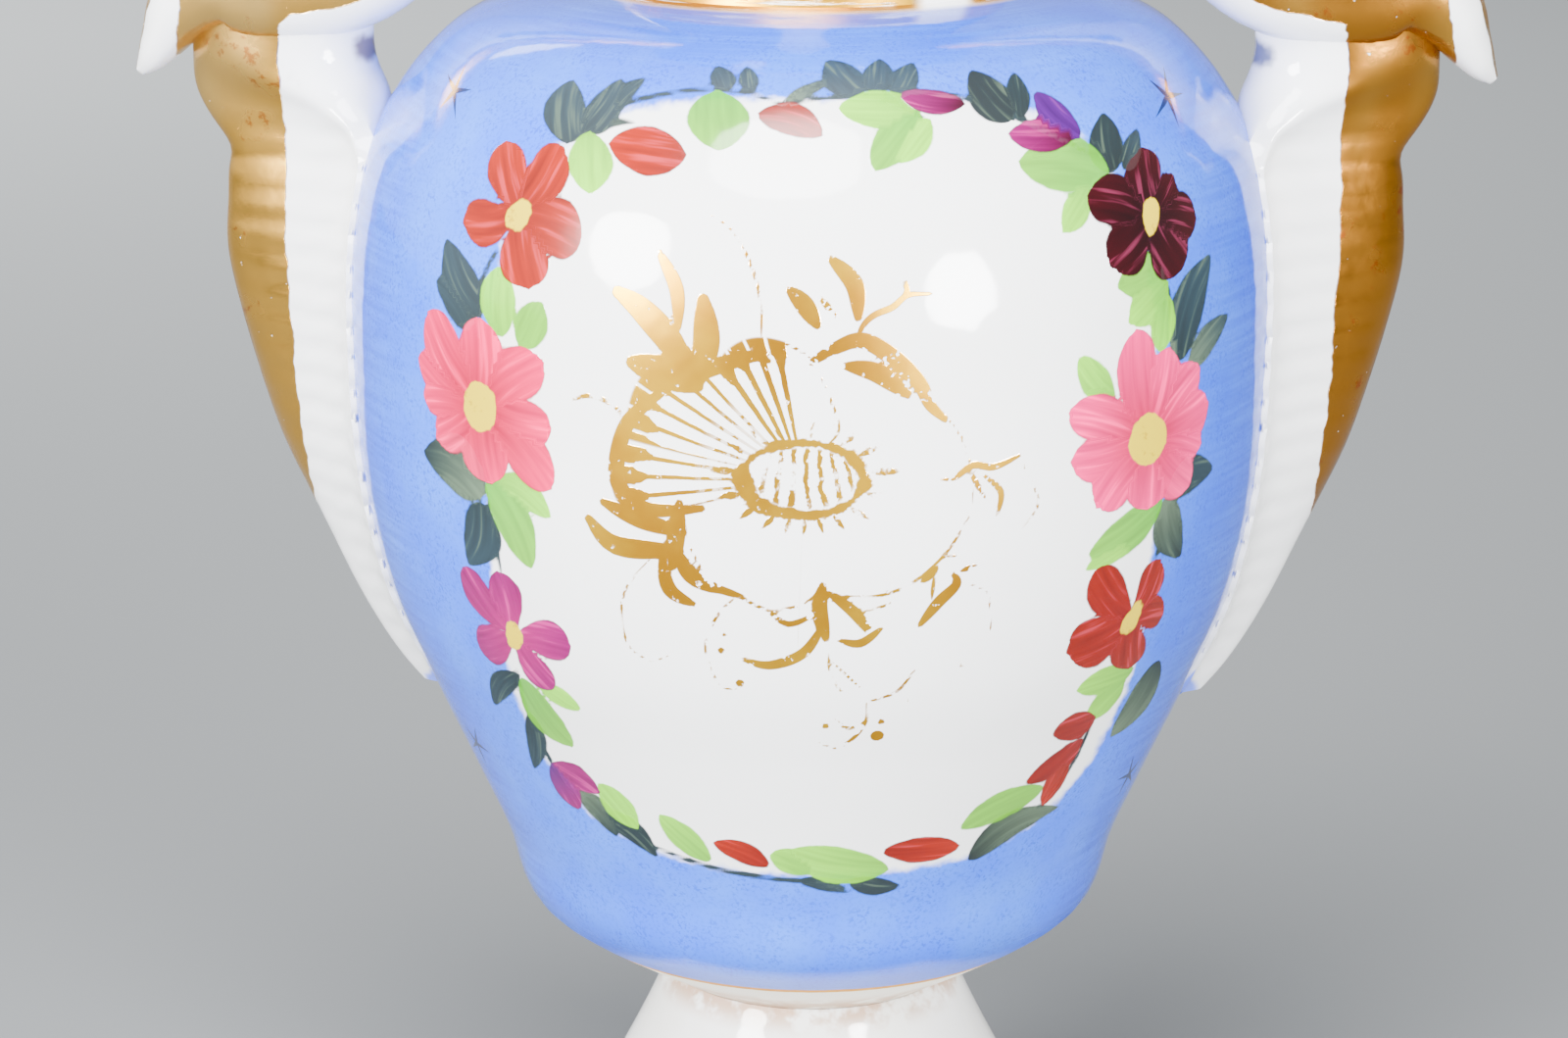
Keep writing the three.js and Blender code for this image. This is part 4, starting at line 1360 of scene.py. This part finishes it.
def giltFlower(r):
    # the heart with its hatching, the big petals ruled with white, and short lines round the heart
    hx, hy, hw, hh = gilt["heart"]
    dx = r.s - hx
    dy = r.t - hy
    u = dx / hw
    v = dy / hh
    away = (u * u + v * v).math("SQRT")
    lowerLeft = (v.math("ARCTAN2", u) + 2.3).math("COSINE")
    rim = 0.11 + lowerLeft.larger(0.0) * 0.07 - (away - 1.0 - lowerLeft * 0.03).size()
    gold = (rim + (r.scuff - 0.52) * 0.42).above(0.0, 0.05)
    hatch = (dx * 3.4 + (r.scuff - 0.5) * 7.0 + dy * dx * 0.12).math("SINE")
    broken = (r.scuff + dx * 0.012 + dy.size() * 0.03).above(0.5, 0.1)
    gold = gold.larger(hatch.above(0.5, 0.3) * away.below(0.84, 0.1) * broken)
    reach = (dx * dx + dy * dy * 1.15).math("SQRT")
    turn = dy.math("ARCTAN2", dx)
    turn = turn + turn.below(-1.6, 0.01) * (2 * math.pi)
    for start, end, far, width, rays, share, whole in gilt["petals"]:
        low = math.radians(start)
        span = math.radians(end) - low
        past = turn - low
        edge = far + (past * (math.pi / span)).math("SINE") * 1.6
        within = past.above(0.0, 0.02) * (span - past).above(0.0, 0.02)
        within = within * (edge - reach).above(0.0, 0.4) * away.above(1.02, 0.04)
        # white rulings that narrow towards the heart and stop before the rim
        ray = (past * (2 * math.pi * rays / span) + (r.scuff - 0.5) * 0.9).math("COSINE")
        ruled = ((edge - width - reach + (r.scuff - 0.5) * 3.0) * 0.6).limited()
        narrow = ((reach - 9.0) * 0.04).smaller(0.25)
        white = (ray + ruled * (2.0 * share) - 1.15 + narrow).above(0.0, 0.16)
        kept = ((reach - (far - width - 7.0)).above(0.0, 5.0) + whole).larger(r.scuff.above(0.5, 0.08))
        gold = gold.larger(within * (1.0 - white) * kept.limited())
    short = (turn * 19.0 + (r.scuff - 0.5) * 3.0).math("SINE") - (away - 1.3).size() * 1.7
    thinned = r.scuff + (0.35 + lowerLeft.larger(0.0) * 0.6) * 0.28
    lines = short.above(0.58, 0.16) * away.above(1.06, 0.05) * thinned.above(0.6, 0.1)
    return gold.larger(lines) * (1.0 - r.onBack)


def giltSprigs(r):
    # full strokes, worn strokes that have lost patches, and faint lines that are mostly lost
    edge = wallPaint["strokeEdge"]
    worn = (r.worn - r.scuff.above(0.62, 0.1) * 0.9).above(*edge)
    faint = (r.faint + 0.05).above(0.0, 0.14) * r.scuff.above(0.47, 0.1)
    return r.full.above(*edge).larger(worn).larger(faint)


def neckBand(r):
    start = shoulderTop + wallPaint["bandFrom"]
    end = shoulderTop + wallPaint["bandTo"]
    return r.up.above(start, 0.3) * r.up.below(end, 0.4)


def giltBands(r, band):
    # the line above the joint, the worn band at the neck, and the lip
    line = wallPaint["heelLine"] - (r.up - wallPaint["heelHeight"] + r.wobble * 0.3).size()
    start, end = wallPaint["bandLost"]
    lost = (r.s - start).above(0.0, 3.0) * (end - r.s).above(0.0, 3.0)
    neck = band * (1.0 - r.scratches.above(0.6, 0.08).larger(lost))
    lipHeight = shoulderTop + vessel["neckHeight"] - wallPaint["lipDepth"]
    lip = r.up.above(lipHeight, 0.3) * r.scratches.below(0.66, 0.08)
    return neck.larger(line.above(0.0, 0.2) * r.scuff.above(0.3, 0.1)).larger(lip)


def paintedGlaze():
    r = WallRecipe("paintedGlaze")
    back = (r.x * -1.0).math("ARCTAN2", r.y) * vessel["bodyRadius"]
    stars = (starsInside(r, r.s, "stars") - r.onBack * 20.0).larger(starsInside(r, back, "backStars"))
    dark, leaf, petal, heart = wreathTones(r)
    darkCover = (r.dark + r.wobble * 0.5).above(0.0, 0.4)
    leafCover = (r.leaf + r.wobble * 0.5).above(0.0, 0.4)
    petalCover = (r.petal + r.wobble * 0.5).above(0.0, 0.35)
    pinholes = r.noise(900.0, 3.0, 0.65).above(0.68, 0.06)
    band = neckBand(r)
    gold = giltFlower(r).larger(giltSprigs(r)) * (1.0 - pinholes * 0.8)
    gold = gold.larger(giltBands(r, band)).limited()
    base = r.coated(blueGround(r), [
        ("porcelain", (r.panel + r.wobble * 2.2).above(*wallPaint["panelEdge"])),
        ("sea", (stars + r.wobble * 0.5).above(0.0, 0.4) * 0.88),
        (dark, darkCover),
        (leaf, leafCover * 0.97),
        (petal, petalCover),
        (heart, (r.heart + r.wobble * 1.2).above(0.0, 0.3)),
        ("cream", r.up.below(wallPaint["heelHeight"], 0.3)),
        ("stain", r.up.below(*wallPaint["jointStain"]) * r.patches.above(0.45, 0.3) * 0.7),
        ("porcelain", band),
        (r.coated(enamel["gold"], [("oldGold", r.cloud.above(0.5, 0.3))]), gold),
    ])
    roughness = 0.06 + gold * 0.22 + r.grain * 0.04 + darkCover * 0.44 + petalCover * 0.12
    roughness = roughness + r.up.below(*wallPaint["heelMatt"]) * 0.45
    relief = gold * 0.3 + petalCover * 0.35 + leafCover * 0.2 + darkCover * 0.15 + r.cloud * 1.2
    return r.finish(base, roughness, gold * 0.9, relief, 0.12 * mm)


def handleGlaze():
    r = Recipe("handleGlaze")
    gilded, blue = r.parts(r.painted("finish"), "XY")
    coarse = r.noise(95.0, 3.0, 0.55)
    wobble = r.noise(260.0, 2.0, 0.5) - 0.5
    scuff = r.noise(520.0, 3.0, 0.7)
    broad = r.noise(46.0, 2.0, 0.5, None, (1.0, 1.0, 0.35))
    chips = r.noise(900.0, 2.0, 0.6).above(0.76, 0.04).larger((coarse * 0.7 + scuff * 0.3).above(0.67, 0.02))
    gold = (gilded + wobble * 1.4).above(0.0, 0.3) * (1.0 - chips)
    # painted shade at the roots where the stems leave the wall, umber on the left with a painted reflection of
    # the gold, ink blue on the right, and the leaves' tips are blue
    onRight = r.parts(r.place(), "X")[0].above(0.0, 0.01)
    rootShadeTone = r.coated(enamel["umber"], [("inkBlue", onRight)])
    blueTone = r.coated(enamel["blue"], [(rootShadeTone, r.height().above(140.0, 20.0))])
    # painted light and reflections on the gold: paler on the left, where the room is brighter, darker on the
    # right, with broad painted dark reflections
    darkReflection = r.coated(enamel["handleGold"], [("brownGold", onRight)])
    tone = r.coated(enamel["paleGold"], [
        ("handleGold", onRight),
        (darkReflection, broad.above(0.46, 0.25)),
        ("redGold", (coarse * 0.6 + scuff * 0.4).above(0.585, 0.05) * 0.6),
    ])
    base = r.coated(enamel["handleWhite"], [
        ("handleGrey", coarse.above(0.5, 0.4) * 0.3),
        (blueTone, (blue + wobble * 1.6).above(0.2, 1.2) * 0.85),
        (tone, gold),
    ])
    relief = coarse * 0.4 + broad * gold * 1.1 + scuff * 0.06 + gold * 0.1
    return r.finish(base, 0.07 + gold * (0.06 + coarse * 0.26), gold * 0.96, relief, 0.5 * mm)


def insideGlaze():
    r = Recipe("insideGlaze")
    tint = r.noise(60.0, 3.0, 0.5)
    base = r.coated(enamel["insideWhite"], [
        ("insideGrey", tint.above(0.5, 0.4)),
        ("stain", r.noise(700.0, 2.0, 0.6).above(0.76, 0.03) * 0.5),
    ])
    return r.finish(base, 0.12 + tint * 0.08, None, tint, 0.2 * mm)


def footGlaze():
    r = Recipe("footGlaze")
    up = r.height()
    tint = r.noise(70.0, 3.0, 0.5)
    patches = r.noise(240.0, 3.0, 0.6)
    top = foot["plinthHeight"] + foot["footHeight"]
    lineHeight = foot["plinthHeight"] + foot["footEdgeHeight"] / 2
    line = (0.9 - (up - lineHeight).size()).above(0.0, 0.3) * patches.below(0.62, 0.06)
    bare = up.below(0.35, 0.3)
    base = r.coated(enamel["footWhite"], [
        ("footCream", tint.above(0.5, 0.4)),
        ("stain", up.above(top - 2.5, 4.0) * patches.above(0.46, 0.2) * 0.7),
        ("stain", r.noise(800.0, 2.0, 0.6).above(0.77, 0.03) * 0.35),
        ("bareClay", bare),
        ("gold", line),
    ])
    return r.finish(base, 0.08 + line * 0.2 + bare * 0.5, line * 0.9, tint + line * 0.2, 0.2 * mm)


def floorMatt():
    r = Recipe("floorMatt")
    x, y = r.parts(r.place(), "XY")
    near, left, right = ((*studio[name], 1.0) for name in ("floorNear", "floorFarLeft", "floorFarRight"))
    # painted light: the floor is paler far off, and most on the left
    base = r.blend(near, r.blend(left, right, x.above(0.0, 1.0)), y.above(0.75, 1.5))
    return r.finish(base, 0.9, gloss={"Specular IOR Level": 0.1})


# Making the pieces

painted = paintedGlaze()
handles = handleGlaze()
inside = insideGlaze()
clay = Clay()
potShape(clay, vessel)
for side in (1, -1):
    leafAndStem(clay, handle, vessel, side)
    armAndCurl(clay, handle, vessel, side)
layTeeth(clay, handle, vessel, tooth, handles)
paintPot(clay)
amphora = clay.finished("paintedAmphora", [painted, inside, handles])
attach(amphora, "root")
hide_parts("amphora")
print("amphora made")

footClay = Clay()
footShape(footClay, foot, vessel)
footPiece = footClay.finished("whiteFoot", [footGlaze()])
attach(footPiece, "root")
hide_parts("foot")
print("foot made")


# Studio

def aroundFront(place):
    turn = math.radians(vessel["frontTurn"])
    x, y, z = place
    return (x * math.cos(turn) - y * math.sin(turn), x * math.sin(turn) + y * math.cos(turn), z)


def setRoom():
    # a soft sky that brightens to one side
    world = bpy.data.worlds.new("softRoom")
    world.use_nodes = True
    tree = world.node_tree
    way = makeNode(tree, "ShaderNodeTexCoord").outputs["Generated"]
    lean = makeNode(tree, "ShaderNodeVectorMath", {"operation": "DOT_PRODUCT"}, {0: way, 1: studio["skyTurn"]})
    levels = {"From Min": -0.6, "From Max": 1.0, "To Min": studio["skyLow"], "To Max": studio["skyHigh"]}
    levels["Value"] = lean.outputs["Value"]
    level = makeNode(tree, "ShaderNodeMapRange", {"interpolation_type": "SMOOTHSTEP"}, levels)
    sky = tree.nodes["Background"]
    sky.inputs["Color"].default_value = studio["skyColour"]
    tree.links.new(level.outputs["Result"], sky.inputs["Strength"])
    bpy.context.scene.world = world


def hangLamp(name, place, target, size, power):
    light = bpy.data.lights.new(name, "AREA")
    light.shape = "DISK"
    light.size = size
    light.energy = power
    lamp = placed(name, light)
    lamp.location = aroundFront(place)
    aim = np.array(aroundFront(target)) - np.array(lamp.location)
    lamp.rotation_euler = (math.acos(-aim[2] / np.linalg.norm(aim)), 0, math.atan2(-aim[0], aim[1]))


def setCamera():
    data = bpy.data.cameras.new("camera")
    data.lens = studio["lens"]
    data.sensor_width = 36.0
    data.clip_start = 0.05
    data.clip_end = 50.0
    camera = placed("camera", data)
    camera.location = aroundFront((studio["aside"] * mm, -studio["distance"] * mm, studio["height"] * mm))
    camera.rotation_euler = (math.radians(90 - studio["pitch"]), 0, math.radians(vessel["frontTurn"]))
    bpy.context.scene.camera = camera


def setStudio():
    half = studio["floorSide"] / 2
    corners = [(-half, -half, 0), (half, -half, 0), (half, half, 0), (-half, half, 0)]
    mesh = bpy.data.meshes.new("floor")
    mesh.from_pydata(corners, [], [(0, 1, 2, 3)])
    mesh.materials.append(floorMatt())
    floor = placed("floor", mesh)
    setRoom()
    for i, lamp in enumerate(studio["lamps"]):
        hangLamp("lamp%d" % i, *lamp)
    setCamera()


setStudio()
print("studio set")
